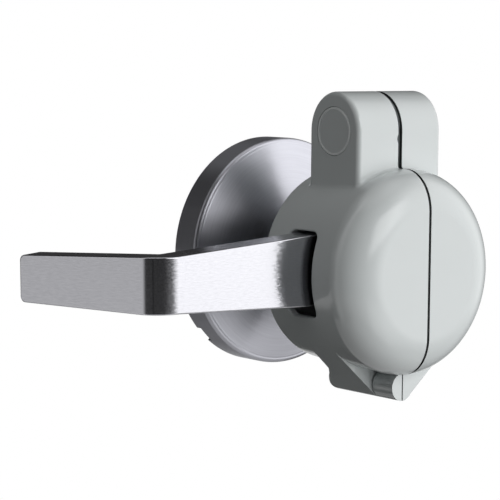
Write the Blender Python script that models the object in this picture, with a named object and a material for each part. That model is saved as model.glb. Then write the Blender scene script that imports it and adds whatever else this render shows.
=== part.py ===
# Door lever lock: a clamshell, hinged along its bottom edge, that closes round the hub of a lever set.
# The lever comes out through a window in the left half, so it can no longer be pressed down.
# Two push buttons in the latch block on top let go of two hooks, and the right half then swings open.
# Metres, +Z up. The door's face is the plane y = 0, and "depth" is the distance from it to the user (-Y).
# The origin is on the lever's axis, on the door's face. The lock's own axis hangs a little below it.

import bpy
import bmesh
from math import acos, asin, cos, pi, radians, sin, sqrt
from mathutils import Matrix, Vector

# Clearance between pieces that seat or run on each other
GAP = 0.0003

# Rose, the round cover against the door
ROSE_RADIUS = 0.041
ROSE_RIM = 0.0115
ROSE_CROWN = 0.00563
ROSE_EDGE = 0.0015
ROSE_WALL = 0.002
PRY_SLOT_LENGTH = 0.007
PRY_SLOT_DEPTH = 0.0022
PRY_SLOT_ANGLE = radians(226)

# Mounting plate under the rose
PLATE_THICKNESS = 0.0018
POCKET_MARGIN = 0.0008
BOSS_RADIUS = 0.004
BOSS_HEIGHT = 0.008
BOSS_SETBACK = 0.0037
BOLT_HOLE_RADIUS = 0.0021

# Lever
LEVER_FRONT = 0.063
LEVER_THICKNESS = 0.010
LEVER_ROOT_HEIGHT = 0.0270
LEVER_BEND_HEIGHT = 0.0184
LEVER_TIP_HEIGHT = 0.0155
LEVER_REACH = 0.0916
LEVER_TIP_REACH = 0.1112
LEVER_TIP_DEPTH = 0.0122
LEVER_BEND_RADIUS = 0.0056
LEVER_EDGE = 0.0011
LEVER_TIP_ROUND = 0.0012
LEVER_DROOP = radians(1.0)
NECK_LENGTH = 0.007
SHANK_RADIUS = 0.009
SHANK_FLAT_CUT = 0.0012
SHANK_END = 0.0005
SPINDLE_SIDE = 0.008
SPINDLE_DEPTH = 0.022

# Fixed collar that the lever's shank turns in, and its screws
COLLAR_WALL = 0.0027
FLANGE_MARGIN = 0.002
FLANGE_THICKNESS = 0.0016
SCREW_COUNT = 3
SCREW_RADIUS = 0.0012
SCREW_HEAD_RADIUS = 0.0023
SCREW_HEAD_HEIGHT = 0.0014
SCREW_SOCKET_RADIUS = 0.0013
SCREW_SOCKET_DEPTH = 0.0008

# Return cam, retaining ring and torsion spring in the plate's pocket
RING_INSET = 0.0011
RING_THICKNESS = 0.001
RING_GROOVE = 0.0008
RING_LIP = 0.001
RING_OPENING = 0.006
CAM_THICKNESS = 0.0015
CAM_HUB_WALL = 0.002
FINGER_WIDTH = 0.004
FINGER_THICKNESS = 0.0022
RETURN_WIRE = 0.0006
COIL_CLEARANCE = 0.0004

# Clamshell body
SHELL_DROP = 0.002
SHELL_RADIUS = 0.035
SHELL_DRAFT = 0.0013
SHELL_DEPTH = 0.0475
SHELL_SETBACK = 0.0075
SHELL_NOSE_DEPTH = 0.012
SHELL_NOSE_WIDTH = 0.014
SHELL_REAR_ROUND = 0.0024
SHELL_WALL = 0.0025
SPLIT_GAP = 0.0007
BLOCK_SPLIT_GAP = 0.0013
LIP_INSET = 0.0015
LIP_REACH = 0.0009
RIB_THICKNESS = 0.0014
RIB_HEIGHT = 0.0025
RIB_ANGLE = radians(55)

# Lever window in the left half: the play round the lever, above and below and at its sides
WINDOW_PLAY = 0.00265
WINDOW_SIDE = 0.0024
WINDOW_CORNER = 0.0028

# Latch block on top
BLOCK_WIDTH = 0.0384
BLOCK_DEPTH = 0.0246
BLOCK_SETBACK = 0.0202
ARCH_RISE = 0.0125
ARCH_CROWN = 0.001
BLOCK_EDGE = 0.0022

# Hinge along the bottom; the left knuckle runs on behind the web that carries it
HINGE_DROP = 0.0045
BARREL_RADIUS = 0.0048
KEEL_SETBACK = 0.0035
LEFT_KNUCKLE = 0.0221
KNUCKLE_TAIL = 0.0075
RIGHT_KNUCKLE = 0.0099
KNUCKLE_END_WALL = 0.002
KNUCKLE_GROOVE = 0.0005
HINGE_PIN_RADIUS = 0.0017

# Rubber grips in the back wall
GRIP_WALL = 0.0032
GRIP_LIP = 0.002
GRIP_LIP_THICKNESS = 0.0016

# Buttons and hooks
BUTTON_MARGIN = 0.0004
BUTTON_FLANGE = 0.0012
BUTTON_FLANGE_THICKNESS = 0.0027
BUTTON_TRAVEL = 0.0015
BUTTON_EDGE = 0.0005
BUTTON_RING = 0.0009
BUTTON_RING_RISE = 0.0002
PUSHER_HEIGHT = 0.002
HOOK_THICKNESS = 0.003
HOOK_OFFSET = 0.004
HOOK_ARM = 0.0025
HOOK_BOSS_RADIUS = 0.0024
HOOK_UNDER = 0.0009
HOOK_OVER = 0.0022
HOOK_TIP = 0.0006
HOOK_PIN_RADIUS = 0.0012
PIVOT_DROP = 0.0065
KEEPER_INSET = 0.004
KEEPER_THICKNESS = 0.002
KEEPER_LIFT = 0.0025
CATCH_DEPTH = 0.002
EAR_THICKNESS = 0.002
LATCH_SPRING_RADIUS = 0.0018
LATCH_SPRING_WIRE = 0.00028
LATCH_SPRING_TURNS = 3.5
LATCH_SEAT_RISE = 0.0006

# Facets
ROUND_STEPS = 64
PLAIN_STEPS = 40
SMALL_STEPS = 24
PIN_STEPS = 16
ARCH_STEPS = 16
BEND_STEPS = 8
NOSE_STEPS = 7
CORNER_STEPS = 4
EDGE_STEPS = 3
TIP_STEPS = 2
COIL_STEPS = 24
CURL_STEPS = 9
SMOOTH_ANGLE = radians(32)
MERGE_DISTANCE = 1e-7

# Lever set: depths and radii that follow from the sizes above
HUB_BACK = LEVER_FRONT - LEVER_THICKNESS
HUB_RADIUS = LEVER_ROOT_HEIGHT / 2
SHANK_FLAT = SHANK_RADIUS - SHANK_FLAT_CUT
COLLAR_RADIUS = SHANK_RADIUS + GAP + COLLAR_WALL
COLLAR_END = HUB_BACK - NECK_LENGTH
RING_GROOVE_RADIUS = SHANK_FLAT - RING_GROOVE
RING_OUTER_RADIUS = SHANK_RADIUS + RING_LIP
CAM_HUB_RADIUS = SHANK_RADIUS + CAM_HUB_WALL
COIL_RADIUS = CAM_HUB_RADIUS + GAP + RETURN_WIRE
COIL_OUTER = COIL_RADIUS + RETURN_WIRE
FINGER_INNER = COIL_OUTER + 2 * GAP
FINGER_OUTER = FINGER_INNER + FINGER_THICKNESS
LEG_ANGLE = asin((FINGER_WIDTH / 2 + RETURN_WIRE + GAP) / FINGER_INNER)
POST_CIRCLE = (FINGER_OUTER + GAP - RETURN_WIRE) / (1 - sin(LEG_ANGLE))
POST_RADIUS = POST_CIRCLE * sin(LEG_ANGLE) - RETURN_WIRE - GAP
POCKET_RADIUS = POST_CIRCLE + POST_RADIUS + POCKET_MARGIN
SCREW_CIRCLE = COIL_OUTER + 3 * GAP + SCREW_HEAD_RADIUS
FLANGE_RADIUS = SCREW_CIRCLE + SCREW_RADIUS + FLANGE_MARGIN
CROWN_SPAN = ROSE_RADIUS - ROSE_EDGE - COLLAR_RADIUS


def rose_front(radius):
    """Depth of the rose's coned face at a radius."""
    return ROSE_RIM + ROSE_CROWN * (1 - (radius - COLLAR_RADIUS) / CROWN_SPAN)


FLANGE_FRONT = rose_front(FLANGE_RADIUS) - ROSE_WALL - GAP
FLANGE_BACK = FLANGE_FRONT - FLANGE_THICKNESS
FLOOR_FRONT = FLANGE_BACK - GAP
FLOOR_BACK = FLOOR_FRONT - PLATE_THICKNESS
CAM_FRONT = FLOOR_BACK - GAP
CAM_PLATE_BACK = CAM_FRONT - CAM_THICKNESS
CAM_BACK = RING_INSET + RING_THICKNESS + GAP

# Lock: depths and places that follow from the sizes above, heights counted from the lock's own axis
SHELL_BACK = COLLAR_END - SHELL_SETBACK
SHELL_FRONT = SHELL_BACK + SHELL_DEPTH
SHELL_BACK_RADIUS = SHELL_RADIUS - SHELL_DRAFT
APERTURE_RADIUS = COLLAR_RADIUS + GAP + GRIP_WALL
LEVER_TAPER = (LEVER_ROOT_HEIGHT - LEVER_BEND_HEIGHT) / LEVER_REACH
WINDOW_HEIGHT = LEVER_ROOT_HEIGHT - LEVER_TAPER * SHELL_RADIUS + 2 * WINDOW_PLAY
WINDOW_WIDTH = LEVER_THICKNESS + 2 * WINDOW_SIDE
WINDOW_CENTRE = LEVER_FRONT - LEVER_THICKNESS / 2
HINGE_Z = -(SHELL_RADIUS + HINGE_DROP)
KEEL_BACK = SHELL_BACK + KEEL_SETBACK
KEEL_SPLIT = KEEL_BACK + LEFT_KNUCKLE
KEEL_FRONT = KEEL_SPLIT + RIGHT_KNUCKLE
BLOCK_CENTRE = SHELL_BACK + BLOCK_SETBACK
BLOCK_INNER = BLOCK_WIDTH / 2 - SHELL_WALL
ARCH_HEIGHT = SHELL_RADIUS + ARCH_RISE
BUTTON_RADIUS = BLOCK_DEPTH / 2 - SHELL_WALL - BUTTON_FLANGE - BUTTON_MARGIN
LIP_START = SHELL_BACK + 2 * SHELL_WALL
FLANGE_INNER = BLOCK_INNER - GAP - BUTTON_FLANGE_THICKNESS
PIVOT_X = -(FLANGE_INNER - BUTTON_TRAVEL - GAP - HOOK_BOSS_RADIUS)
PUSHER_LENGTH = FLANGE_INNER + PIVOT_X - HOOK_ARM / 2 - GAP
PIVOT_Z = ARCH_HEIGHT - PIVOT_DROP
KEEPER_OUTER = KEEPER_INSET + KEEPER_THICKNESS
KEEPER_Z = ARCH_HEIGHT + KEEPER_LIFT
BARB_INNER = KEEPER_OUTER + GAP
BARB_OUTER = BARB_INNER + HOOK_ARM
LATCH_SEAT_RADIUS = LATCH_SPRING_RADIUS + 2 * LATCH_SPRING_WIRE
LATCH_SPRING_X = PIVOT_X + HOOK_BOSS_RADIUS + LATCH_SEAT_RADIUS
LATCH_SEAT_Z = sqrt(SHELL_RADIUS ** 2 - LATCH_SPRING_X ** 2) + LATCH_SEAT_RISE

LOCK_ORIGIN = Vector((0, 0, -SHELL_DROP))
LATCH_ORIGIN = Vector((0, -BLOCK_CENTRE, 0))
SIDES = {"left": -1, "right": 1}


# Modelling helpers

def clear_scene():
    for item in list(bpy.data.objects):
        bpy.data.objects.remove(item)


def arc(centre, radius, start, end, steps):
    """Points on a circle, or on an ellipse when radius is a pair, from one angle to another."""
    wide, high = radius if isinstance(radius, tuple) else (radius, radius)
    turn = (end - start) / steps
    return [
        (centre[0] + wide * cos(start + turn * i), centre[1] + high * sin(start + turn * i))
        for i in range(steps + 1)
    ]


def circle(centre, radius, steps):
    return arc(centre, radius, 0, 2 * pi, steps)[:-1]


def add_object(name, work):
    """Turn a finished bmesh into an object with outward faces."""
    bmesh.ops.remove_doubles(work, verts=work.verts, dist=MERGE_DISTANCE)
    bmesh.ops.recalc_face_normals(work, faces=work.faces)
    mesh = bpy.data.meshes.new(name)
    work.to_mesh(mesh)
    work.free()
    item = bpy.data.objects.new(name, mesh)
    bpy.context.collection.objects.link(item)
    return item


def turned(name, profile, steps, closed=False):
    """Spin a profile of (radius, depth) points about the door's Y axis."""
    work = bmesh.new()
    points = [work.verts.new((radius, -depth, 0)) for radius, depth in profile]
    pairs = list(zip(points, points[1:]))
    if closed:
        pairs.append((points[-1], points[0]))
    edges = [work.edges.new(pair) for pair in pairs]
    bmesh.ops.spin(
        work, geom=points + edges, cent=(0, 0, 0), axis=(0, 1, 0), angle=2 * pi, steps=steps, use_merge=True
    )
    return add_object(name, work)


def prism(name, outline, axis, low, high):
    """Extrude an outline along an axis: X takes (depth, z) points, Y takes (x, z) and Z takes (x, depth)."""
    place = {
        "X": lambda a, b, at: (at, -a, b),
        "Y": lambda a, b, at: (a, -at, b),
        "Z": lambda a, b, at: (a, -b, at),
    }[axis]
    work = bmesh.new()
    face = work.faces.new([work.verts.new(place(a, b, low)) for a, b in outline])
    grown = bmesh.ops.extrude_face_region(work, geom=[face])["geom"]
    shift = Vector(place(0, 0, high)) - Vector(place(0, 0, low))
    moved = [part for part in grown if isinstance(part, bmesh.types.BMVert)]
    bmesh.ops.translate(work, verts=moved, vec=shift)
    return add_object(name, work)


def box(name, low, high):
    """A box between two corners given as (x, depth, z)."""
    outline = [(low[0], low[2]), (high[0], low[2]), (high[0], high[2]), (low[0], high[2])]
    return prism(name, outline, "Y", low[1], high[1])


def apply_modifiers(item):
    graph = bpy.context.evaluated_depsgraph_get()
    item.data = bpy.data.meshes.new_from_object(item.evaluated_get(graph))
    item.modifiers.clear()


def combine(target, tool, operation):
    step = target.modifiers.new(operation.title(), "BOOLEAN")
    step.operation = operation
    step.object = tool
    step.solver = "EXACT"
    apply_modifiers(target)
    bpy.data.objects.remove(tool)


def join(target, tool):
    combine(target, tool, "UNION")


def cut(target, tool):
    combine(target, tool, "DIFFERENCE")


def keep(target, tool):
    combine(target, tool, "INTERSECT")


def tube(name, points, wire):
    """A round wire along a list of points, with closed ends."""
    curve = bpy.data.curves.new(name, "CURVE")
    curve.dimensions = "3D"
    curve.bevel_depth = wire
    curve.bevel_resolution = 1
    curve.use_fill_caps = True
    line = curve.splines.new("POLY")
    line.points.add(len(points) - 1)
    for spot, point in zip(line.points, points):
        spot.co = (*point, 1)
    item = bpy.data.objects.new(name, curve)
    bpy.context.collection.objects.link(item)
    return item


def report_self_gap(name, points, wire):
    """Print the least gap between stretches of one wire that lie on different turns."""
    apart = 4 * wire
    least = None
    for i, first in enumerate(points):
        along = 0.0
        for j in range(i + 1, len(points)):
            along += (points[j] - points[j - 1]).length
            if along > apart:
                gap = (points[j] - first).length - 2 * wire
                least = gap if least is None else min(least, gap)
    print(f"{name}: least gap to itself {least * 1000:.2f} mm")


def set_origin(item, point):
    """Put the object's origin at a point of its present frame, without moving the shape."""
    item.data.transform(Matrix.Translation(-point))
    item.location = point


def parent_to(item, holder):
    item.parent = holder
    item.matrix_parent_inverse = Matrix.Translation(holder.location).inverted()


def empty_at(name, point):
    holder = bpy.data.objects.new(name, None)
    holder.location = point
    bpy.context.collection.objects.link(holder)
    return holder


def finish(item, look):
    """Give a piece its own material and smooth its round faces."""
    colour, roughness, metallic = look
    material = bpy.data.materials.new(item.name)
    material.use_nodes = True
    shader = material.node_tree.nodes["Principled BSDF"]
    shader.inputs["Base Color"].default_value = (*colour, 1)
    shader.inputs["Roughness"].default_value = roughness
    shader.inputs["Metallic"].default_value = metallic
    item.data.materials.clear()
    item.data.materials.append(material)
    if isinstance(item.data, bpy.types.Mesh):
        item.data.shade_smooth()
        item.data.set_sharp_from_angle(angle=SMOOTH_ANGLE)


SATIN_CHROME = ((0.62, 0.62, 0.64), 0.28, 1.0)
STEEL = ((0.45, 0.45, 0.46), 0.35, 1.0)
SPRING_STEEL = ((0.32, 0.32, 0.33), 0.3, 1.0)
GREY_PLASTIC = ((0.66, 0.69, 0.69), 0.3, 0.0)
LATCH_PLASTIC = ((0.5, 0.52, 0.52), 0.45, 0.0)
RUBBER = ((0.03, 0.03, 0.032), 0.75, 0.0)


# Lever set

def make_rose():
    crown = ROSE_RADIUS - ROSE_EDGE
    hole = COLLAR_RADIUS + GAP
    outside = [(ROSE_RADIUS, 0)]
    outside += arc((crown, ROSE_RIM - ROSE_EDGE), ROSE_EDGE, 0, pi / 2, EDGE_STEPS)
    inner_wall = ROSE_RADIUS - ROSE_WALL
    inside = [(radius, rose_front(radius) - ROSE_WALL) for radius in (hole, inner_wall)]
    inside += [(inner_wall, 0)]
    rose = turned("rose", outside + [(hole, rose_front(hole))] + inside, ROUND_STEPS, closed=True)
    half = PRY_SLOT_LENGTH / 2
    slot = box("slot", (inner_wall - ROSE_WALL, -GAP, -half), (ROSE_RADIUS + ROSE_WALL, PRY_SLOT_DEPTH, half))
    slot.data.transform(Matrix.Rotation(-PRY_SLOT_ANGLE, 4, "Y"))
    cut(rose, slot)
    finish(rose, SATIN_CHROME)


def screw_spots():
    """Places of the collar's screws, one straight below so that the others clear the spring's post."""
    turn = 2 * pi / SCREW_COUNT
    angles = [turn * i - pi / 2 for i in range(SCREW_COUNT)]
    return [(SCREW_CIRCLE * cos(angle), SCREW_CIRCLE * sin(angle)) for angle in angles]


def make_mount_plate():
    rim = ROSE_RADIUS - ROSE_WALL - GAP
    pocket_outer = POCKET_RADIUS + PLATE_THICKNESS
    bore = SHANK_RADIUS + 2 * GAP
    profile = [
        (rim, 0), (rim, PLATE_THICKNESS), (pocket_outer, PLATE_THICKNESS), (pocket_outer, FLOOR_FRONT),
        (bore, FLOOR_FRONT), (bore, FLOOR_BACK), (POCKET_RADIUS, FLOOR_BACK), (POCKET_RADIUS, 0),
    ]
    plate = turned("mount_plate", profile, PLAIN_STEPS, closed=True)
    for side in SIDES.values():
        spot = (side * (rim - BOSS_SETBACK - BOSS_RADIUS), 0)
        boss = circle(spot, BOSS_RADIUS, SMALL_STEPS)
        tap = circle(spot, BOLT_HOLE_RADIUS, PIN_STEPS)
        join(plate, prism("boss", boss, "Y", PLATE_THICKNESS / 2, BOSS_HEIGHT))
        cut(plate, prism("tap", tap, "Y", -GAP, BOSS_HEIGHT + GAP))
    middle = (FLOOR_BACK + FLOOR_FRONT) / 2
    join(plate, prism("post", circle((0, POST_CIRCLE), POST_RADIUS, PIN_STEPS), "Y", CAM_BACK, middle))
    for spot in screw_spots():
        hole = circle(spot, SCREW_RADIUS + GAP, PIN_STEPS)
        cut(plate, prism("hole", hole, "Y", FLOOR_BACK - GAP, FLOOR_FRONT + GAP))
    finish(plate, STEEL)


def make_collar():
    bore = SHANK_RADIUS + GAP
    profile = [
        (bore, FLANGE_BACK), (FLANGE_RADIUS, FLANGE_BACK), (FLANGE_RADIUS, FLANGE_FRONT),
        (COLLAR_RADIUS, FLANGE_FRONT), (COLLAR_RADIUS, COLLAR_END), (bore, COLLAR_END),
    ]
    collar = turned("bearing_collar", profile, PLAIN_STEPS, closed=True)
    for spot in screw_spots():
        hole = circle(spot, SCREW_RADIUS + GAP, PIN_STEPS)
        cut(collar, prism("hole", hole, "Y", FLANGE_BACK - GAP, FLANGE_FRONT + GAP))
    finish(collar, SATIN_CHROME)


def make_collar_screws():
    head_front = FLOOR_BACK - GAP
    head_back = head_front - SCREW_HEAD_HEIGHT
    profile = [
        (0, head_back), (SCREW_HEAD_RADIUS, head_back), (SCREW_HEAD_RADIUS, head_front),
        (SCREW_RADIUS, head_front), (SCREW_RADIUS, FLANGE_FRONT), (0, FLANGE_FRONT),
    ]
    hexagon = circle((0, 0), SCREW_SOCKET_RADIUS, 6)
    for number, spot in enumerate(screw_spots(), 1):
        screw = turned(f"collar_screw_{number}", profile, PIN_STEPS)
        cut(screw, prism("socket", hexagon, "Y", head_back - GAP, head_back + SCREW_SOCKET_DEPTH))
        screw.location = (spot[0], 0, spot[1])
        finish(screw, STEEL)


def flatted(radius, flat, steps):
    """Outline of a round shank with two flats, top and bottom."""
    corner = asin(flat / radius)
    right = arc((0, 0), radius, -corner, corner, steps)
    left = arc((0, 0), radius, pi - corner, pi + corner, steps)
    return right + left


def rounded_box(half_wide, half_high, corner, steps):
    points = []
    for quarter, (x, z) in enumerate(((1, 1), (-1, 1), (-1, -1), (1, -1))):
        centre = (x * (half_wide - corner), z * (half_high - corner))
        points += arc(centre, corner, quarter * pi / 2, (quarter + 1) * pi / 2, steps)
    return points


def lever_path():
    """Stations of the lever's centre line: place (x, depth), heading, height and thickness."""
    middle = LEVER_FRONT - LEVER_THICKNESS / 2
    corner = Vector((-LEVER_REACH, middle))
    tip = Vector((-LEVER_TIP_REACH, LEVER_TIP_DEPTH))
    back_run = (tip - corner).normalized()
    turn = asin(-back_run[1]) if back_run[0] < 0 else pi - asin(-back_run[1])
    tangent = LEVER_BEND_RADIUS * sin(turn / 2) / cos(turn / 2)
    centre = corner + Vector((tangent, -LEVER_BEND_RADIUS))
    stations = [(Vector((0, middle)), Vector((-1, 0)), LEVER_ROOT_HEIGHT, LEVER_THICKNESS)]
    for i in range(BEND_STEPS + 1):
        angle = turn * i / BEND_STEPS
        spot = centre + LEVER_BEND_RADIUS * Vector((-sin(angle), cos(angle)))
        stations.append((spot, Vector((-cos(angle), -sin(angle))), LEVER_BEND_HEIGHT, LEVER_THICKNESS))
    for i in range(TIP_STEPS + 1):
        angle = pi / 2 * i / TIP_STEPS
        shrink = 2 * LEVER_TIP_ROUND * (1 - cos(angle))
        spot = tip - back_run * LEVER_TIP_ROUND * (1 - sin(angle))
        stations.append((spot, back_run, LEVER_TIP_HEIGHT - shrink, LEVER_THICKNESS - shrink))
    return stations


def loft(name, rings):
    work = bmesh.new()
    loops = [[work.verts.new(point) for point in ring] for ring in rings]
    count = len(loops[0])
    for near, far in zip(loops, loops[1:]):
        for i in range(count):
            j = (i + 1) % count
            work.faces.new((near[i], near[j], far[j], far[i]))
    work.faces.new(loops[0])
    work.faces.new(loops[-1])
    return add_object(name, work)


def make_lever():
    rings = []
    for spot, heading, height, thickness in lever_path():
        side = Vector((-heading[1], heading[0]))
        ring = rounded_box(thickness / 2, height / 2, LEVER_EDGE, TIP_STEPS)
        rings.append([(spot[0] + side[0] * a, -(spot[1] + side[1] * a), b) for a, b in ring])
    lever = loft("lever", rings)
    lever.data.transform(Matrix.Rotation(-LEVER_DROOP, 4, "Y"))
    hub_edge = HUB_RADIUS - LEVER_EDGE
    shoulder = COLLAR_END + GAP
    hub = [(0, CAM_FRONT), (SHANK_RADIUS, CAM_FRONT), (SHANK_RADIUS, shoulder), (COLLAR_RADIUS, shoulder)]
    hub += [(COLLAR_RADIUS, HUB_BACK + LEVER_EDGE), (HUB_RADIUS, HUB_BACK + LEVER_EDGE)]
    hub += arc((hub_edge, LEVER_FRONT - LEVER_EDGE), LEVER_EDGE, 0, pi / 2, TIP_STEPS)
    hub += [(0, LEVER_FRONT)]
    join(lever, turned("hub", hub, PLAIN_STEPS))
    tail = flatted(SHANK_RADIUS - GAP, SHANK_FLAT, BEND_STEPS)
    join(lever, prism("tail", tail, "Y", SHANK_END, CAM_FRONT + SHANK_RADIUS))
    groove = [
        (RING_GROOVE_RADIUS, RING_INSET - GAP), (SHANK_RADIUS + GAP, RING_INSET - GAP),
        (SHANK_RADIUS + GAP, CAM_BACK), (RING_GROOVE_RADIUS, CAM_BACK),
    ]
    cut(lever, turned("groove", groove, SMALL_STEPS, closed=True))
    half = SPINDLE_SIDE / 2
    cut(lever, box("socket", (-half, SHANK_END - GAP, -half), (half, SPINDLE_DEPTH, half)))
    finish(lever, SATIN_CHROME)


def make_return_cam():
    bore = flatted(SHANK_RADIUS, SHANK_FLAT + GAP, BEND_STEPS)
    cam = turned("return_cam", [
        (0, CAM_BACK), (CAM_HUB_RADIUS, CAM_BACK), (CAM_HUB_RADIUS, CAM_PLATE_BACK),
        (COIL_OUTER, CAM_PLATE_BACK), (COIL_OUTER, CAM_FRONT), (0, CAM_FRONT),
    ], PLAIN_STEPS)
    half = FINGER_WIDTH / 2
    join(cam, box("arm", (-half, CAM_PLATE_BACK, COIL_RADIUS), (half, CAM_FRONT, FINGER_OUTER)))
    join(cam, box("finger", (-half, CAM_BACK, FINGER_INNER), (half, CAM_PLATE_BACK + GAP, FINGER_OUTER)))
    cut(cam, prism("bore", bore, "Y", CAM_BACK - GAP, CAM_FRONT + GAP))
    finish(cam, STEEL)


def make_retaining_ring():
    inner = RING_GROOVE_RADIUS + GAP
    back = RING_INSET
    front = RING_INSET + RING_THICKNESS
    profile = [(inner, back), (RING_OUTER_RADIUS, back), (RING_OUTER_RADIUS, front), (inner, front)]
    ring = turned("retaining_ring", profile, PLAIN_STEPS, closed=True)
    half = RING_OPENING / 2
    cut(ring, box("opening", (-half, 0, -2 * RING_OUTER_RADIUS), (half, CAM_BACK, 0)))
    finish(ring, SPRING_STEEL)


def make_return_spring():
    """Near-full turns round the cam's hub, with legs that straddle the finger and the fixed post."""
    start = pi / 2 + LEG_ANGLE
    low = CAM_BACK + GAP + RETURN_WIRE
    high = CAM_PLATE_BACK - GAP - RETURN_WIRE
    turns = max(1, int((high - low) / (2 * RETURN_WIRE + COIL_CLEARANCE)))
    sweep = 2 * pi * turns - 2 * LEG_ANGLE
    steps = round(COIL_STEPS * sweep / (2 * pi))

    def spot(angle, radius, depth):
        return Vector((radius * cos(angle), -depth, radius * sin(angle)))

    leg_end = POST_CIRCLE + RETURN_WIRE
    path = [spot(start, leg_end, low)]
    for i in range(steps + 1):
        share = i / steps
        path.append(spot(start + sweep * share, COIL_RADIUS, low + (high - low) * share))
    path.append(spot(start + sweep, leg_end, high))
    report_self_gap("return_spring", path, RETURN_WIRE)
    finish(tube("return_spring", path, RETURN_WIRE), SPRING_STEEL)


# Clamshell

def drum_profile(inset):
    back = SHELL_BACK + inset
    front = SHELL_FRONT - inset
    rear = SHELL_BACK_RADIUS - inset
    side = SHELL_RADIUS - inset
    soft = max(SHELL_REAR_ROUND - inset, GAP)
    nose = (SHELL_NOSE_WIDTH - inset, SHELL_NOSE_DEPTH - inset)
    points = [(0, back)]
    points += arc((rear - soft, back + soft), soft, -pi / 2, 0, EDGE_STEPS)
    points += arc((side - nose[0], front - nose[1]), nose, 0, pi / 2, NOSE_STEPS)
    points += [(0, front)]
    return points


def section_outline(inset):
    """The drum's outline in the plane of the split, as (depth, z) points."""
    half = drum_profile(inset)[1:-1]
    above = [(depth, radius) for radius, depth in half]
    below = [(depth, -radius) for radius, depth in reversed(half)]
    return above + below


def lip_ring(outer, inner, low, high, start):
    """Ring along the split, from low to high in x and from a depth forwards."""
    ring = prism("ring", section_outline(outer), "X", low, high)
    cut(ring, prism("inside", section_outline(inner), "X", low - GAP, high + GAP))
    cut(ring, box("behind", (low - GAP, 0, -SHELL_RADIUS), (high + GAP, start, SHELL_RADIUS)))
    return ring


def block_outline(inset, floor):
    half = BLOCK_DEPTH / 2 - inset
    points = [(BLOCK_CENTRE + half, floor)]
    points += arc((BLOCK_CENTRE, ARCH_HEIGHT), (half, half + ARCH_CROWN), 0, pi, ARCH_STEPS)
    points += [(BLOCK_CENTRE - half, floor)]
    return points


def make_block():
    half = BLOCK_WIDTH / 2
    block = prism("block", block_outline(0, 0), "X", -half, half)
    work = bmesh.new()
    work.from_mesh(block.data)
    ends = [edge for edge in work.edges if all(abs(abs(v.co.x) - half) < GAP for v in edge.verts)]
    ends = [edge for edge in ends if edge.verts[0].co.x * edge.verts[1].co.x > 0]
    bmesh.ops.bevel(work, geom=ends, offset=BLOCK_EDGE, segments=EDGE_STEPS, profile=0.5, affect="EDGES")
    work.to_mesh(block.data)
    work.free()
    return block


def half_space(side, gap, low_z, high_z):
    """A large block on one side of the split plane."""
    reach = BLOCK_WIDTH + 2 * SHELL_RADIUS
    near = side * gap / 2
    far = side * reach
    return box("half", (min(near, far), 0, low_z), (max(near, far), 2 * SHELL_FRONT, high_z))


def keel_wedge(side):
    """Web whose flank leaves the drum's wall and meets the hinge barrel as a tangent of both."""
    middle = SHELL_RADIUS - SHELL_WALL / 2
    angle = acos((middle - BARREL_RADIUS) / -HINGE_Z)
    away = Vector((sin(angle), -cos(angle)))
    hinge = Vector((0, HINGE_Z))
    top = Vector((0, SHELL_WALL - SHELL_RADIUS))
    return [(side * x, z) for x, z in (hinge, hinge + BARREL_RADIUS * away, middle * away, top)]


def keel_span(side):
    """Depths of one half's hinge knuckle."""
    if side < 0:
        return KEEL_BACK, KEEL_SPLIT - GAP
    return KEEL_SPLIT + GAP, KEEL_FRONT


def latch_turn(side):
    """Half turn about the block's upright axis that carries the left latch to the right."""
    turn = 0 if side < 0 else pi
    return Matrix.Translation(LATCH_ORIGIN) @ Matrix.Rotation(turn, 4, "Z")


def latch_prism(side, name, outline, low, high):
    """A prism along Y in the latch's own frame, low and high counted towards the user from its middle."""
    item = prism(name, outline, "Y", low, high)
    item.data.transform(latch_turn(side))
    return item


def hook_span():
    return HOOK_OFFSET - HOOK_THICKNESS / 2, HOOK_OFFSET + HOOK_THICKNESS / 2


def ear_spans():
    near, far = hook_span()
    return [(near - GAP - EAR_THICKNESS, near - GAP), (far + GAP, far + GAP + EAR_THICKNESS)]


def add_latch_features(shell, side):
    """Keeper rib under the arch, ears for the hook's pin and the spring's seat."""
    reach = BLOCK_DEPTH / 2 - SHELL_WALL / 2
    lift = asin(KEEPER_LIFT / (reach + ARCH_CROWN))
    rib = arc((0, ARCH_HEIGHT), (reach, reach + ARCH_CROWN), lift, pi - lift, ARCH_STEPS)
    keeper = prism("keeper", rib, "X", -KEEPER_OUTER, -KEEPER_INSET)
    keeper.data.transform(latch_turn(side))
    join(shell, keeper)
    ear = [(PIVOT_X + HOOK_BOSS_RADIUS, 0)]
    ear += arc((PIVOT_X, PIVOT_Z), HOOK_BOSS_RADIUS, 0, pi, BEND_STEPS)
    ear += [(PIVOT_X - HOOK_BOSS_RADIUS, 0)]
    for low, high in ear_spans():
        join(shell, latch_prism(side, "ear", ear, low, high))
    seat = circle((LATCH_SPRING_X, HOOK_OFFSET), LATCH_SEAT_RADIUS, PIN_STEPS)
    boss = prism("seat", seat, "Z", 0, LATCH_SEAT_Z)
    boss.data.transform(latch_turn(side))
    join(shell, boss)


def add_ribs(shell, side):
    """Ribs along the inside of the drum's wall, clear of the lever's window."""
    inner = SHELL_BACK_RADIUS - SHELL_WALL - RIB_HEIGHT
    low = (inner, SHELL_BACK + SHELL_WALL - GAP, -RIB_THICKNESS / 2)
    high = (SHELL_BACK_RADIUS - GAP, SHELL_FRONT - SHELL_NOSE_DEPTH, RIB_THICKNESS / 2)
    angles = [pi - RIB_ANGLE, pi + RIB_ANGLE] if side < 0 else [-RIB_ANGLE, 0, RIB_ANGLE]
    for angle in angles:
        rib = box("rib", low, high)
        rib.data.transform(Matrix.Rotation(angle, 4, "Y"))
        join(shell, rib)


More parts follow.
